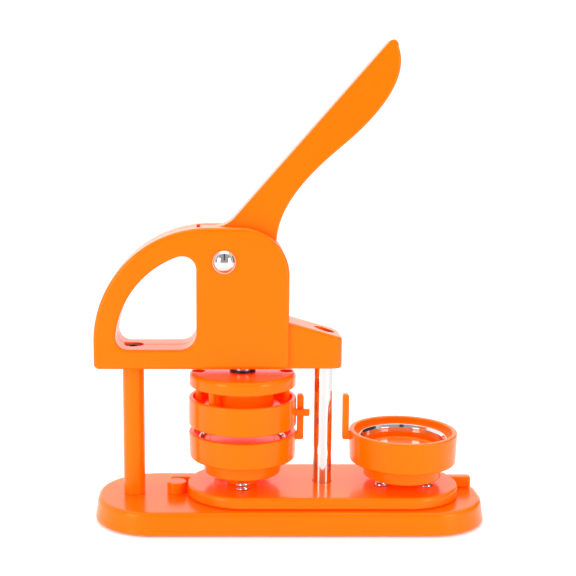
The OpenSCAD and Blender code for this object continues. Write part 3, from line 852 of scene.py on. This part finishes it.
@dataclass
class Head:
    """The two half mouldings, which hold the pivot and guide the plunger."""

    half: float = 21.0
    slot_half: float = 10.8
    left: float = -143.5
    right: float = -2.0
    bottom: float = 116.3
    top: float = 219.3
    # Arcs of the side view: x and z of the centre, then the radius.
    sweep: tuple = (-60.0, 135.8, 83.5)
    crown: tuple = (-37.0, 184.3, 35.0)
    foot_corner: float = 4.0
    edge: float = 3.0
    slot_x: float = -69.0
    slot_top: float = 207.0
    # Corners (x, z) of the room that the lever swings in.
    slot_floor: tuple = ((-63.5, 196), (-63.5, 164), (-14, 164))
    slot_exit: float = 169.25
    # The window's arc, its right side, sill and lintel, and its four fillets.
    window: tuple = (-59.2, 133.8, 68.6)
    window_box: tuple = (-69.0, 131.0, 198.8)
    window_rounds: tuple = (12.0, 9.0, 10.0, 9.7)
    window_edge: float = 2.0
    seam: float = 0.7
    step: float = 0.8
    bracket_half: float = 17.5
    bracket_end: float = 37.2
    # Height of the bracket's top at the head and at its end.
    bracket_tops: Point = (151.4, 138.7)
    # Radius of a dome's rim, half width of its cap and height of the rim.
    dome_rim: tuple = (8.3, 8.0, 1.1)
    # Radius and length of the shank, and rise of the cap.
    bolt: tuple = (5.0, 26.0, 4.1)
    nut_rise: float = 5.4
    # CAD node on the axis, radius, lower and upper end.
    bores: tuple = (("plunger", 12.8, 150, 187), ("plunger", 11.03, 115, 151),
                    ("column_bolt", 8.0, 122, 132), ("post_top_bolt", 7.5, 132, 160))
    # Radius and depth of a screw's seat, then x and z of each screw.
    screw_seat: Point = (4.2, 5.0)
    screws: tuple = ((-136, 124), (-112.5, 190), (-80, 209), (-60, 126), (-12, 140), (8, 127))

    def outlines(self) -> tuple[Array, Array, Array]:
        """The side view without and with the lever's slot, point for point.

        Returns:
            The full outline, the outline with the slot, and which points lie on the slot.
        """
        cx, cz, r = self.sweep
        meet = math.degrees(math.acos((self.slot_x - cx) / r))
        sweep = arc((cx, cz), r, 180, meet, 60)[:-1]
        room = [(self.slot_x, cz + r * math.sin(math.radians(meet))),
                (self.slot_x, self.slot_top), *self.slot_floor, (self.right, self.slot_exit)]
        counts = [8, 8, 18, 26, 10]
        low = np.concatenate([line(a, b, n + 1)[:-1] for a, b, n in zip(room, room[1:], counts)])
        total = sum(counts)
        kx, kz, kr = self.crown
        flat = np.concatenate([arc((cx, cz), r, meet, 90, 6)[:-1],
                               line((cx, self.top), (kx, self.top), 10)[:-1]])
        turn = arc((kx, kz), kr, 90, 0, 42)
        drop = line((self.right, kz), room[-1], total - len(flat) - len(turn) + 2)[1:-1]
        high = np.concatenate([flat, turn, drop])
        c = self.foot_corner
        end = [line(room[-1], (self.right, self.bottom + c), 6)[:-1],
               arc((self.right - c, self.bottom + c), c, 0, -90, 8),
               arc((self.left + c, self.bottom + c), c, -90, -180, 8),
               line((self.left, self.bottom + c), (self.left, cz), 5)[1:-1]]
        full = np.concatenate([sweep, high, *end])
        cut = np.concatenate([sweep, low, *end])
        on_slot = np.zeros(len(full), bool)
        on_slot[len(sweep) + 1:len(sweep) + total] = True
        return full, cut, on_slot

    def window_outline(self) -> Array:
        """The hand window: an arc, a straight right side, a flat sill and lintel, all filleted.

        A fillet of radius q inside the arc has its centre R - q from the arc's own centre.

        Returns:
            The closed outline.
        """
        cx, cz, r = self.window
        right, sill, lintel = self.window_box
        heel, foot, shoulder, brow = self.window_rounds

        def inner(q: float, z: float) -> tuple[Point, float]:
            """Centre of a fillet that touches the arc from inside at height z, and its angle."""
            return ((cx - math.sqrt((r - q) ** 2 - (z - cz) ** 2), z),
                    180 - math.degrees(math.asin((z - cz) / (r - q))))

        low, low_angle = inner(foot, sill + foot)
        high, high_angle = inner(shoulder, lintel - shoulder)
        return np.concatenate([
            arc((right - heel, sill + heel), heel, 0, -90, 10),
            arc(low, foot, 270, low_angle, 10),
            arc((cx, cz), r, low_angle, high_angle, 42)[1:],
            arc(high, shoulder, high_angle, 90, 8)[1:],
            arc((right - brow, lintel - brow), brow, 90, 0, 12)])

    def half_body(self) -> Shape:
        """The front half: rounds at the front, a step at the slot, a fine seam at Y = 0.

        Returns:
            The closed surface.
        """
        full, cut, on_slot = self.outlines()
        steps = edge_steps(self.edge, 7)
        stepped = inset(full, np.where(on_slot, self.step, 0))
        loops = [inset(full, a) for a, _ in steps] + [full, stepped]
        ys = [b - self.half for _, b in steps] + [-self.slot_half - self.step, -self.slot_half]
        loops += [cut, cut, inset(cut, self.seam)]
        ys += [-self.slot_half, -self.seam, 0]
        hole = self.window_outline()
        rounds = edge_steps(self.window_edge)
        bores = [inset(hole, -a) for a, _ in rounds] + [hole, inset(hole, -self.seam)]
        hole_ys = [b - self.half for _, b in rounds] + [-self.seam, 0]
        return stack(standing(loops, ys), (standing(bores, hole_ys),))

    def half_bracket(self) -> Shape:
        """The front half of the bracket over the post, its sloping top a function of X.

        Returns:
            The closed surface.
        """
        back, end, side, corner = self.right - 6, self.bracket_end, -self.bracket_half, 7.0
        loop = rounded([(back, 0), (back, side), (end, side), (end, 0)], [0, 0, corner, 0], 12)

        def top(x: Array) -> Array:
            """Height of the top: one straight slope down to the end."""
            return np.interp(x, [self.right, end], self.bracket_tops)

        under = [(inset(loop, a), self.bottom + b + 0 * loop[:, 0]) for a, b in edge_steps(1.2)]
        over = []
        for a, b in edge_steps(2.2, 6)[::-1]:
            plan = inset(loop, a)
            over.append((plan, top(plan[:, 0]) - b))
        levels = np.stack([np.column_stack([p, z]) for p, z in under + over])
        levels[..., 1] = np.minimum(levels[..., 1], 0)
        levels[:, [0, -1], 1] = 0
        return stack(levels)

    def make_half(self, name: str, rear: bool) -> bpy.types.Object:
        """One half, with the bores that both halves share and the rear's screw seats.

        Args:
            name: Name of the piece.
            rear: True for the rear half.

        Returns:
            The piece.
        """
        body, bracket = self.half_body(), self.half_bracket()
        if rear:
            body, bracket = body.mirrored(), bracket.mirrored()
        piece = body.piece(name)
        combine(piece, Join.ADD, [bracket])
        cuts = [bar(*sizes).moved(*centre_of(node), 0) for node, *sizes in self.bores]
        if rear:
            radius, depth = self.screw_seat
            for x, z in self.screws:
                face = self.bracket_half if x > self.right else self.half
                seat = bar(radius, face - depth, face + 1, count=40)
                cuts.append(seat.tipped_back().mirrored().moved(x, 0, z))
        combine(piece, Join.CUT, cuts)
        return piece

    def domed(self, under: list[Point], rounds: list[float], rise: float) -> Shape:
        """A fastener's dome: a rim, and a cap whose ball has radius (w^2 + rise^2) / (2 rise).

        Args:
            under: Corners (r, z) from the axis to the rim's lower edge.
            rounds: Radius at each of them.
            rise: Height of the cap over the rim.

        Returns:
            The closed surface, its face at Z = 0 and its axis along Z.
        """
        rim, half_width, height = self.dome_rim
        ball = (half_width**2 + rise**2) / (2 * rise)
        start = math.degrees(math.asin((ball - rise) / ball))
        cap = arc((0, height + rise - ball), ball, start, 90, 14)
        foot = rounded([*under, (rim, height)], [*rounds, 0], 5)
        return lathe(np.concatenate([foot, cap]), False)

    def build(self) -> None:
        """Makes and dresses the pieces."""
        dress(self.make_half("head_half_front", False), Finish.BODY, "root", "head_front")
        dress(self.make_half("head_half_rear", True), Finish.BODY, "root", "head_rear")
        x, z = centre_of("pivot_bolt")[0], sum(heights_of("pivot_bolt")) / 2
        rim = self.dome_rim[0]
        shank, length, rise = self.bolt
        under = [(0, -length), (shank, -length), (shank, 0), (rim, 0)]
        bolt = self.domed(under, [0, 0.4, 0, 0.3], rise).tipped_back().moved(x, -self.half, z)
        dress(bolt.piece("pivot_dome_bolt"), Finish.CHROME, "root", "pivot_bolt")
        nut = self.domed([(0, 0.05), (rim, 0.05)], [0, 0.3], self.nut_rise)
        nut = nut.tipped_back().mirrored().moved(x, self.half, z)
        dress(nut.piece("pivot_dome_nut"), Finish.CHROME, "root", "pivot_nut")
        refinish(Finish.BLACK, "head_screws")


# ---------------------------------------------------------------- handle


@dataclass
class Handle:
    """The lever: hub and cam inside the head, and the long grip."""

    half: float = 10.0
    hub_r: float = 12.8
    cam_r: float = 14.0
    cam_rest: float = 13.0
    swing: float = 56.0
    grip_angle: float = 48.8
    grip_round: float = 1.8
    hub_round: float = 1.0
    # Side view about the pivot, in x and z: the grip's two curves, and below, its heel.
    neck: tuple = ((38, 14), (39, 45), (73, 72), (87, 84))
    belly: tuple = ((87, 84), (101, 96), (132.5, 125.5), (122.6, 151))
    # X of the centre and radius of the arc between grip and heel.
    blend: tuple = (-7.4, 20.0)
    heel_top: float = 24.0
    heel: tuple = ((-8, 24), (-17.4, 24), (-17.4, 14), (-12.9, 2))
    # Way along the grip, where its rounder edges begin and how long the change is.
    way: Point = (0.66, 0.75)
    edge_change: Point = (24.0, 34.0)
    # X, z and radius of the tip's round.
    tip: tuple = (118.9, 152.4, 3.6)
    bore: Point = (8.0, 15.0)

    def outline(self) -> tuple[Array, Array]:
        """The side view about the pivot, and how far each point lies along the grip.

        The cam's face is an involute: (r cos a + h sin a, r sin a - h cos a), h = h0 + r a.

        Returns:
            The outline, and 0 at the hub rising to 1 on the grip.
        """
        a = np.radians(np.linspace(0, self.swing, 20))
        h = self.cam_rest + self.cam_r * a
        tip_x, tip_z, tip_r = self.tip
        blend_x, blend_r = self.blend
        tip = arc((tip_x, tip_z), tip_r, 8, 90 + self.grip_angle, 10)
        blend = arc((blend_x, self.heel_top + blend_r), blend_r, self.grip_angle - 90, -90, 14)
        cam = np.stack([self.cam_r * np.cos(a) + h * np.sin(a),
                        self.cam_r * np.sin(a) - h * np.cos(a)], 1)
        loop = np.concatenate([
            arc((0, 0), self.hub_r, 172, 268, 16), cam,
            cubic(*self.neck, 44), cubic(*self.belly, 44)[1:],
            tip, line(tuple(tip[-1]), tuple(blend[0]), 60)[1:-1], blend,
            rounded(list(self.heel), [0, 0.8, 2, 0], 4)[1:-1]])
        keep = np.linalg.norm(loop - np.roll(loop, 1, 0), axis=1) > 0.05
        loop = loop[keep]
        start, span = self.edge_change
        along = np.clip((loop @ np.array(self.way) - start) / span, 0, 1)
        return loop, along * along * (3 - 2 * along)

    def build(self) -> None:
        """Makes and dresses the pieces."""
        x, z = centre_of("pivot_bush")[0], sum(heights_of("pivot_bush")) / 2
        loop, along = self.outline()
        radius = self.hub_round + (self.grip_round - self.hub_round) * along
        steps = edge_steps(1.0, 8)
        walls = []
        for side, order in ((-1, steps), (1, steps[::-1])):
            for a, b in order:
                p = inset(loop, radius * a)
                walls.append(np.stack([p[:, 0], side * (self.half - radius * b), p[:, 1]], 1))
        piece = stack(np.stack(walls)).moved(x, 0, z).piece("lever_handle")
        radius, reach = self.bore
        bore = bar(radius, -reach, reach, count=48)
        combine(piece, Join.CUT, [bore.tipped_back().moved(x, 0, z)])
        dress(piece, Finish.HANDLE, "handle", "handle")
        refinish(Finish.STEEL, "pivot_bush")


# ---------------------------------------------------------------- press


@dataclass
class Press:
    """The plunger with the disc, punch, upper ring and selector that hang on it."""

    plunger_r: float = 7.6
    disc_r: float = 39.5
    # Lower and upper face, here and for the ring and the punch.
    disc: tuple = (101.2, 110.9)
    ring_r: float = 40.0
    ring: tuple = (71.2, 92.2)
    ring_floor: float = 78.0
    ring_wall: float = 37.0
    punch_r: float = 28.7
    punch: tuple = (75.0, 86.0)
    # Radius and depth of the seat for the punch bolt's head.
    punch_step: Point = (5.5, 5.5)
    hub_r: float = 23.0
    bolt_bore: float = 3.0
    disc_socket: float = 2.8
    guide_pitch: float = 32.5
    guide_r: float = 2.5
    guide_angles: tuple = (0, 180)
    guide_top: float = 104.6
    # Radius of the disc's two recesses and height of their floor over its lower face.
    recess: Point = (5.0, 3.3)
    stop_angles: tuple = (46, 226)
    stop_low: float = 88.5
    swing: float = 16.0
    tab_reach: float = 50.0
    tab_half: float = 2.0
    button_r: float = 12.0
    guide_bush_r: float = 11.0
    # Mean radius of the coil and radius of its wire.
    spring: Point = (9.6, 0.9)
    spring_turns: float = 6.5
    x: float = field(init=False)

    def __post_init__(self) -> None:
        """Takes the press axis from the frame."""
        self.x = centre_of("plunger")[0]

    def at_guides(self, shape: Shape, angles: tuple) -> list[Shape]:
        """The same shape on the guide circle, at each angle about the press axis."""
        out = shape.moved(self.guide_pitch, 0, 0)
        return [out.turned(angle).moved(self.x, 0, 0) for angle in angles]

    def posts(self, low: float, high: float, angles: tuple) -> list[Shape]:
        """Round posts on the guide circle."""
        return self.at_guides(bar(self.guide_r, low, high, (0.4, 0.3), 28), angles)

    def make_disc(self) -> bpy.types.Object:
        """The disc with its two recesses, guide holes and the stop posts below.

        Returns:
            The piece.
        """
        low, high = self.disc
        bore, socket = self.bolt_bore, low + self.disc_socket
        corners = [(self.plunger_r, socket), (self.plunger_r, high), (self.disc_r, high),
                   (self.disc_r, low), (bore, low), (bore, socket)]
        form = sleeve(corners, [0, 0.3, 3.0, 0.8, 0, 0]).moved(self.x, 0, 0)
        piece = form.piece("press_plate")
        combine(piece, Join.ADD, self.posts(self.stop_low, low + 0.6, self.stop_angles))
        radius, floor = self.recess
        cuts = self.at_guides(bar(radius, low + floor, high + 1, count=40), self.guide_angles)
        guide = bar(self.guide_r + 0.4, low - 1, high, count=40)
        combine(piece, Join.CUT, cuts + self.at_guides(guide, self.guide_angles))
        return piece

    def make_upper_ring(self) -> bpy.types.Object:
        """The ring with its floor, the selector's slot and the two guide posts.

        Returns:
            The piece.
        """
        low, high = self.ring
        bore = self.punch_r + 0.6
        corners = [(bore, low), (self.ring_r, low), (self.ring_r, high), (self.ring_wall, high),
                   (self.ring_wall, self.ring_floor), (bore, self.ring_floor)]
        form = sleeve(corners, [0.4, 1.2, 1.3, 0.5, 0.4, 0.4]).moved(self.x, 0, 0)
        piece = form.piece("press_upper_ring")
        posts = self.posts(self.ring_floor - 0.5, self.guide_top, self.guide_angles)
        combine(piece, Join.ADD, posts)
        wide = self.ring_r * math.sin(math.radians(self.swing / 2)) + 2.6
        gate = oblong(self.ring_wall - 1, self.ring_r + 1.5, -wide, wide, [0] * 4)
        slot = flat_plate(gate, self.ring_floor + 0.1, self.ring_floor + 6, 0.01, 0.01)
        combine(piece, Join.CUT, [slot.moved(self.x, 0, 0)])
        return piece

    def make_selector(self) -> bpy.types.Object:
        """The selector ring: notched for the posts, with its tab through the slot.

        Returns:
            The piece.
        """
        low, high = self.ring_floor + 0.3, self.ring_floor + 5.7
        inner, outer = self.punch_r + 1.5, self.ring_wall - 0.3
        turn = -self.swing / 2
        form = tube(inner, outer, low, high, [0.2] * 4)
        piece = form.turned(turn).moved(self.x, 0, 0).piece("press_selector")
        half = self.swing / 2 + math.degrees(math.asin(self.guide_r / self.guide_pitch)) + 1
        band = self.guide_pitch + self.guide_r + 0.35
        cuts = []
        for a in (*self.guide_angles, *self.stop_angles):
            wedge = np.concatenate([[[12, 0]], arc((0, 0), band, -half, half, 12)])
            notch = flat_plate(wedge, low - 1, high + 1, 0.01, 0.01)
            cuts.append(notch.turned(a + turn).moved(self.x, 0, 0))
        combine(piece, Join.CUT, cuts)
        half = self.tab_half
        plan = oblong(outer - 0.9, self.tab_reach, -half, half, [0, 0.8, 0.8, 0])
        tab = flat_plate(plan, low + 0.2, high - 0.2, 0.5, 0.7)
        combine(piece, Join.ADD, [tab.turned(turn).moved(self.x, 0, 0)])
        return piece

    def build(self) -> None:
        """Makes and dresses the pieces."""
        dress(self.make_disc(), Finish.PRESS, "ram", "press_disc")
        low, high = self.punch
        top, r, hub, bore = self.disc[0], self.punch_r, self.hub_r, self.bolt_bore
        wide, depth = self.punch_step
        corners = [(bore, low + depth), (wide, low + depth), (wide, low), (r, low), (r, high),
                   (hub, high), (hub, top), (bore, top)]
        punch = sleeve(corners, [0, 0, 0.3, 1.4, 1.0, 0.8, 0.3, 0]).moved(self.x, 0, 0)
        dress(punch.piece("press_punch"), Finish.PRESS, "ram", "punch")
        dress(self.make_upper_ring(), Finish.PRESS, "upper_ring", "upper_ring")
        dress(self.make_selector(), Finish.PRESS, "selector", "selector_ring")
        r, z = self.plunger_r, self.disc[1]
        cap_low, cap_high = heights_of("plunger_cap")
        rod = bar(r, self.disc[0] + 3, cap_low, (0.3, 0.3), ROUND).moved(self.x, 0, 0)
        dress(rod.piece("plunger_rod"), Finish.STEEL, "ram", "plunger")
        cap = bar(self.button_r, cap_low, cap_high, (0.6, 1.0), ROUND).moved(self.x, 0, 0)
        dress(cap.piece("plunger_button"), Finish.STEEL, "ram", "plunger_cap")
        washer = tube(r, r + 2, z, z + 1.5, [0.1, 0.3, 0.6, 0.2]).moved(self.x, 0, 0)
        dress(washer.piece("plunger_lock_washer"), Finish.BLACK, "ram", "plunger_washer")
        low, high = heights_of("plunger_bush")
        bush = tube(r + 0.06, self.guide_bush_r, low, high, [0.5, 0.5, 0.3, 0.3])
        bush = bush.moved(self.x, 0, 0)
        dress(bush.piece("plunger_guide"), Finish.STEEL, "root", "plunger_bush")
        coil = helix(*self.spring, high, cap_low, self.spring_turns).moved(self.x, 0, 0)
        spring = coil.piece("plunger_return_spring")
        dress(spring, Finish.SPRING, "root", "plunger_spring")
        travel = joint_travel("ram_slide")
        1 - travel / (cap_low - high)
        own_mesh(spring)
        refinish(Finish.BLACK, "punch_bolt", "ring_screws")


def joint_travel(name: str) -> float:
    """Longest travel of a sliding joint, in millimetres."""
    found = next(j for j in frame["joints"] if j["name"] == name)
    return max(abs(v) for v in found["range_m"]) / MM


# ---------------------------------------------------------------- turntable and dies


@dataclass
class Turntable:
    """The half-turn plate with its two stop lugs."""

    end_r: float = 41.3
    reach: float = 114.0
    # Near and far side in y.
    lug: Point = (8.0, 15.0)
    lug_root: float = 30.0
    top_round: float = 2.4
    # Radius of the hole through the top skin, and of the one below it.
    post_hole: Point = (7.4, 10.0)
    top_skin: float = 1.2
    # Radius and depth.
    spring_seat: Point = (5.4, 2.0)
    spring_pitch: float = 19.0
    screw_head: Point = (4.8, 4.0)

    def build(self) -> None:
        """Makes and dresses the pieces."""
        low, high = heights_of("turntable")
        left, right = centre_of("die_a_steel_ring")[0], centre_of("die_b_steel_ring")[0]
        post = centre_of("chrome_post")[0]
        loop = np.concatenate([arc((left, 0), self.end_r, 90, 270, 72),
                               arc((right, 0), self.end_r, -90, 90, 72)])
        piece = flat_plate(loop, low, high, 0.8, self.top_round).piece("turntable_plate")
        y0, y1 = self.lug
        lugs = []
        root = self.lug_root
        for a, b in ((post - self.reach, left - root), (right + root, post + self.reach)):
            lugs.append(flat_plate(oblong(a, b, y0, y1, [1.2] * 4), low, high, 0.6, 1.0))
        combine(piece, Join.ADD, lugs)
        narrow, wide = self.post_hole
        through, under = bar(narrow, low - 1, high + 1), bar(wide, low - 1, high - self.top_skin)
        combine(piece, Join.CUT, [through.moved(post, 0, 0), under.moved(post, 0, 0)])
        radius, depth = self.spring_seat
        seat = bar(radius, high - depth, high + 3, count=32).moved(self.spring_pitch, 0, 0)
        radius, depth = self.screw_head
        head = bar(radius, low - 1, low + depth, count=32)
        pockets = []
        for x, first in ((left, -90), (right, 90)):
            pockets += [seat.turned(first + 120 * i).moved(x, 0, 0) for i in range(3)]
            pockets.append(head.moved(x, 0, 0))
        combine(piece, Join.CUT, pockets)
        dress(piece, Finish.DIES, "turntable", "turntable")
        refinish(Finish.BRONZE, "turntable_bush")
        refinish(Finish.STEEL, "core_screws")


@dataclass
class Die:
    """One badge die: the sprung cup with its arm, the steel ring, the fixed core and springs."""

    letter: str
    turn: float
    core_top: float
    foot: float
    flange: float
    rim: float = 66.0
    cup_r: float = 40.0
    foot_r: float = 28.7
    well_r: float = 29.8
    web: float = 13.0
    # Radius of the core's stem and of its hole in the cup.
    stem: tuple = (11.5, 12.2)
    # X of the root and of the upright's two sides, z of the root's two faces and of the top.
    arm: tuple = (38.0, 40.7, 45.5, 59.0, 64.5, 93.4)
    arm_half: float = 3.0
    # Mean radius of the coil and radius of its wire.
    spring: Point = (4.2, 0.7)
    spring_turns: float = 5.0
    spring_pitch: float = 19.0
    spring_seat: float = 24.4
    # Radius and depth.
    spring_bore: Point = (5.4, 5.0)
    ledge_depth: float = 5.0
    ledge_width: float = 2.6
    x: float = field(init=False)

    def __post_init__(self) -> None:
        """Takes the die's axis from the frame."""
        self.x = centre_of(f"die_{self.letter}_steel_ring")[0]

    def at_springs(self, shape: Shape) -> list[Shape]:
        """The same shape at each of the three spring places."""
        out = shape.moved(self.spring_pitch, 0, 0)
        return [out.turned(120 * i - 90 + self.turn).moved(self.x, 0, 0) for i in range(3)]

    def make_cup(self) -> bpy.types.Object:
        """The cup: a turned form with bores for the springs and a pocket for its arm.

        Returns:
            The piece.
        """
        ledge, seat = self.rim - self.ledge_depth, self.rim - 2 * self.ledge_depth
        inner, outer, web = self.cup_r - 4, self.cup_r - 0.7, self.foot + self.web
        corners = [(self.stem[1], self.foot), (self.foot_r, self.foot), (self.foot_r, self.flange),
                   (outer, self.flange), (self.cup_r, self.rim), (inner, self.rim), (inner, ledge),
                   (self.well_r + self.ledge_width, ledge), (self.well_r + self.ledge_width, seat),
                   (self.well_r, seat), (self.well_r, web), (self.stem[1], web)]
        radii = [0.3, 1.1, 0.8, 1.8, 1.2, 1.0, 0.6, 0.3, 0.1, 0.1, 0.6, 0.3]
        form = sleeve(corners, radii, 128).turned(self.turn).moved(self.x, 0, 0)
        piece = form.piece(f"cup_{self.letter}")
        radius, depth = self.spring_bore
        bore = bar(radius, self.foot - 1, self.foot + depth, count=32)
        root, _, _, z0, z1, _ = self.arm
        plan = oblong(root, root + 10, -self.arm_half, self.arm_half, [0] * 4)
        pocket = flat_plate(plan, z0, z1, 0.01, 0.01).turned(self.turn).moved(self.x, 0, 0)
        combine(piece, Join.CUT, [*self.at_springs(bore), pocket])
        return piece

    def make_ring(self) -> bpy.types.Object:
        """The steel ring on the cup's ledge, its inner edge sloping into the well.

        Returns:
            The piece.
        """
        inner, outer = self.well_r + 0.2, self.well_r + self.ledge_width
        ledge = self.rim - self.ledge_depth
        low, high = ledge - self.ledge_depth, ledge + 0.4
        corners = [(inner, low), (outer, low), (outer, high), (outer - 0.9, high),
                   (inner, ledge - 1.8)]
        ring = sleeve(corners, [0.1, 0.1, 0.3, 0.7, 1.0], 128).moved(self.x, 0, 0)
        return ring.piece(f"steel_ring_{self.letter}")

    def make_core(self) -> bpy.types.Object:
        """The fixed core: a stem through the cup's floor, and a plate inside the well.

        Returns:
            The piece.
        """
        r, top, low = self.well_r - 0.9, self.core_top, heights_of(f"die_{self.letter}_core")[0]
        web, stem = self.foot + self.web + 0.4, self.stem[0]
        corners = [(0, top - 0.5), (r - 5, top - 0.5), (r - 4, top), (r, top), (r, web),
                   (stem, web), (stem, low), (0, low)]
        core = knob(corners, [0, 0.8, 0.6, 1.5, 0.8, 0.2, 0.2, 0]).moved(self.x, 0, 0)
        return core.piece(f"core_{self.letter}")

    def make_arm(self) -> bpy.types.Object:
        """The L-shaped arm that moves the selector, its corners and edges rounded.

        Returns:
            The piece.
        """
        root, x0, x1, z0, z1, top = self.arm
        loop = rounded([(root, z0), (x1, z0), (x1, top), (x0, top), (x0, z1), (root, z1)],
                       [0, 1.4, 1.8, 1.8, 0.8, 0], 8)
        form = upright_plate(loop, -self.arm_half, self.arm_half, 0.7)
        return form.turned(self.turn).moved(self.x, 0, 0).piece(f"cup_arm_{self.letter}")

    def build(self) -> None:
        """Makes and dresses the pieces."""
        name, body = self.letter, f"cup_{self.letter}"
        dress(self.make_cup(), Finish.DIES, body, f"die_{name}_cup")
        dress(self.make_arm(), Finish.DIES, body, f"die_{name}_arm")
        dress(self.make_ring(), Finish.RING, body, f"die_{name}_steel_ring")
        dress(self.make_core(), Finish.DIES, "turntable", f"die_{name}_core")
        low, high = self.spring_seat, self.foot + self.spring_bore[1]
        coils = self.at_springs(helix(*self.spring, low, high, self.spring_turns))
        piece = reduce(Shape.with_shape, coils).piece(f"cup_springs_{name}")
        dress(piece, Finish.SPRING, "turntable", f"die_{name}_springs")
        joint = f"cup_{name}_press"
        1 - joint_travel(joint) / (high - low)
        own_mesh(piece)


# ---------------------------------------------------------------- studio


@dataclass(frozen=True)
class Softbox:
    """A large soft light that faces the object's middle: place and size in metres, watts."""

    name: str
    at: tuple
    size: Point
    power: float
    aim: tuple = (0, 0, 0.12)

    def build(self) -> None:
        """Makes the light."""
        data = bpy.data.lights.new(self.name, "AREA")
        data.shape, data.energy = "RECTANGLE", self.power
        data.size, data.size_y = self.size
        made = bpy.data.objects.new(self.name, data)
        made.location = self.at
        way = Vector(self.aim) - Vector(self.at)
        made.rotation_euler = way.to_track_quat("-Z", "Y").to_euler()
        bpy.context.scene.collection.objects.link(made)


@dataclass
class Studio:
    """Pale floor, dark cards for the metal to mirror, soft light and the camera."""

    camera_at: tuple = (-0.0555, -0.8077, 0.2993)
    camera_tilt: float = 0.155
    lens: float = 69.65
    shift: float = 0.1267
    # Light from the world: between two directions in y, it goes between two strengths.
    glow: tuple = (-0.4, 0.15, 0.5, 1.35)
    backdrop: float = 1.2
    floor_half: float = 3000.0
    floor_glow: float = 0.18
    boom_half: float = 140.0
    # Y and z of its near and far edge.
    boom_ends: tuple = ((-400.0, 2100.0), (-1700.0, 600.0))
    flag_x: float = 1300.0
    # First and last y, then first and last z.
    flag_spans: tuple = ((-150.0, 1500.0), (0.0, 1100.0))
    card: float = 20.0
    lights: tuple = (Softbox("light_left", (-1.2, -1.1, 0.45), (0.6, 1.2), 14.0),
                     Softbox("light_right", (1.2, -1.1, 0.45), (0.55, 1.2), 13.0),
                     Softbox("light_top", (0.0, 0.1, 1.7), (1.6, 1.0), 9.0))

    def camera(self) -> None:
        """A level camera a little above the object, tipped down."""
        data = bpy.data.cameras.new("camera")
        data.sensor_width, data.lens = 36.0, self.lens
        data.shift_x = self.shift
        made = bpy.data.objects.new("camera", data)
        made.location = self.camera_at
        made.rotation_euler = (math.pi / 2 - self.camera_tilt, 0, 0)
        bpy.context.scene.collection.objects.link(made)
        bpy.context.scene.camera = made

    def floor(self) -> None:
        """A wide pale sheet under the object."""
        size = self.floor_half
        loop = np.array([(-size, -size), (size, -size), (size, size), (-size, size)])
        sheet = stack(lying([loop, loop], [-self.card, 0.0])).piece("studio_floor")
        g = Graph("studio_paper")
        g.feed("Base Color", g.mix(g.noise(3.0), (0.9, 0.9, 0.9), (0.93, 0.93, 0.93)))
        g.feed("Roughness", 0.55)
        g.feed("Emission Color", (1.0, 1.0, 1.0, 1.0))
        g.feed("Emission Strength", self.floor_glow)
        sheet.data.materials.append(g.material)

    def world(self) -> None:
        """White to the eye; on the object, bright at the back and sides and dim in front."""
        world = bpy.data.worlds.new("studio_glow")
        world.use_nodes = True
        nodes, links = world.node_tree.nodes, world.node_tree.links
        nodes.clear()
        out = nodes.new("ShaderNodeOutputWorld")
        seen, lit = nodes.new("ShaderNodeBackground"), nodes.new("ShaderNodeBackground")
        seen.inputs["Color"].default_value = lit.inputs["Color"].default_value = (1, 1, 1, 1)
        seen.inputs["Strength"].default_value = self.backdrop
        way, split = nodes.new("ShaderNodeTexCoord"), nodes.new("ShaderNodeSeparateXYZ")
        ramp = nodes.new("ShaderNodeMapRange")
        for name, value in zip(("From Min", "From Max", "To Min", "To Max"), self.glow):
            ramp.inputs[name].default_value = value
        links.new(way.outputs["Generated"], split.inputs[0])
        links.new(split.outputs["Y"], ramp.inputs["Value"])
        links.new(ramp.outputs[0], lit.inputs["Strength"])
        path, mix = nodes.new("ShaderNodeLightPath"), nodes.new("ShaderNodeMixShader")
        links.new(path.outputs["Is Camera Ray"], mix.inputs[0])
        links.new(lit.outputs[0], mix.inputs[1])
        links.new(seen.outputs[0], mix.inputs[2])
        links.new(mix.outputs[0], out.inputs["Surface"])
        bpy.context.scene.world = world

    def dark_card(self, name: str, finish: str, corners: list, back: tuple) -> None:
        """A dark sheet that only the bright metal sees.

        Args:
            name: Name of the piece.
            finish: Name of its material.
            corners: Its four corners, in millimetres.
            back: The way from its face to its back.
        """
        face = np.array(corners, float)
        sheet = stack(np.stack([face, face + back])).piece(name)
        sheet.data.materials.append(DarkCoating(roughness=0.9).material(finish))

    def boom(self) -> None:
        """A dark strip behind and over the camera, which the bright metal mirrors."""
        half, (near, far) = self.boom_half, self.boom_ends
        corners = [(-half, *near), (half, *near), (half, *far), (-half, *far)]
        self.dark_card("studio_boom", "studio_dark", corners, (0, -self.card, self.card))

    def flag(self) -> None:
        """A dark card out of sight on the right, for the chrome post's shaded side."""
        x, ((near, far), (low, high)) = self.flag_x, self.flag_spans
        corners = [(x, near, low), (x, far, low), (x, far, high), (x, near, high)]
        self.dark_card("studio_flag", "studio_card", corners, (self.card, 0, 0))

    def build(self) -> None:
        """Sets up the studio."""
        self.camera()
        self.floor()
        self.world()
        self.boom()
        self.flag()
        for light in self.lights:
            light.build()
        bpy.context.scene.view_settings.view_transform = "Standard"


def main() -> None:
    """Builds the studio and every sub-assembly."""
    logging.basicConfig(level=logging.INFO, format="%(name)s: %(message)s")
    Studio().build()
    Base().build()
    Pillars().build()
    Head().build()
    Handle().build()
    Press().build()
    Turntable().build()
    Die("a", 0.0, 60.0, 35.0, 46.4).build()
    Die("b", 180.0, 53.0, 31.5, 42.8).build()


if __name__ == "__main__":
    main()
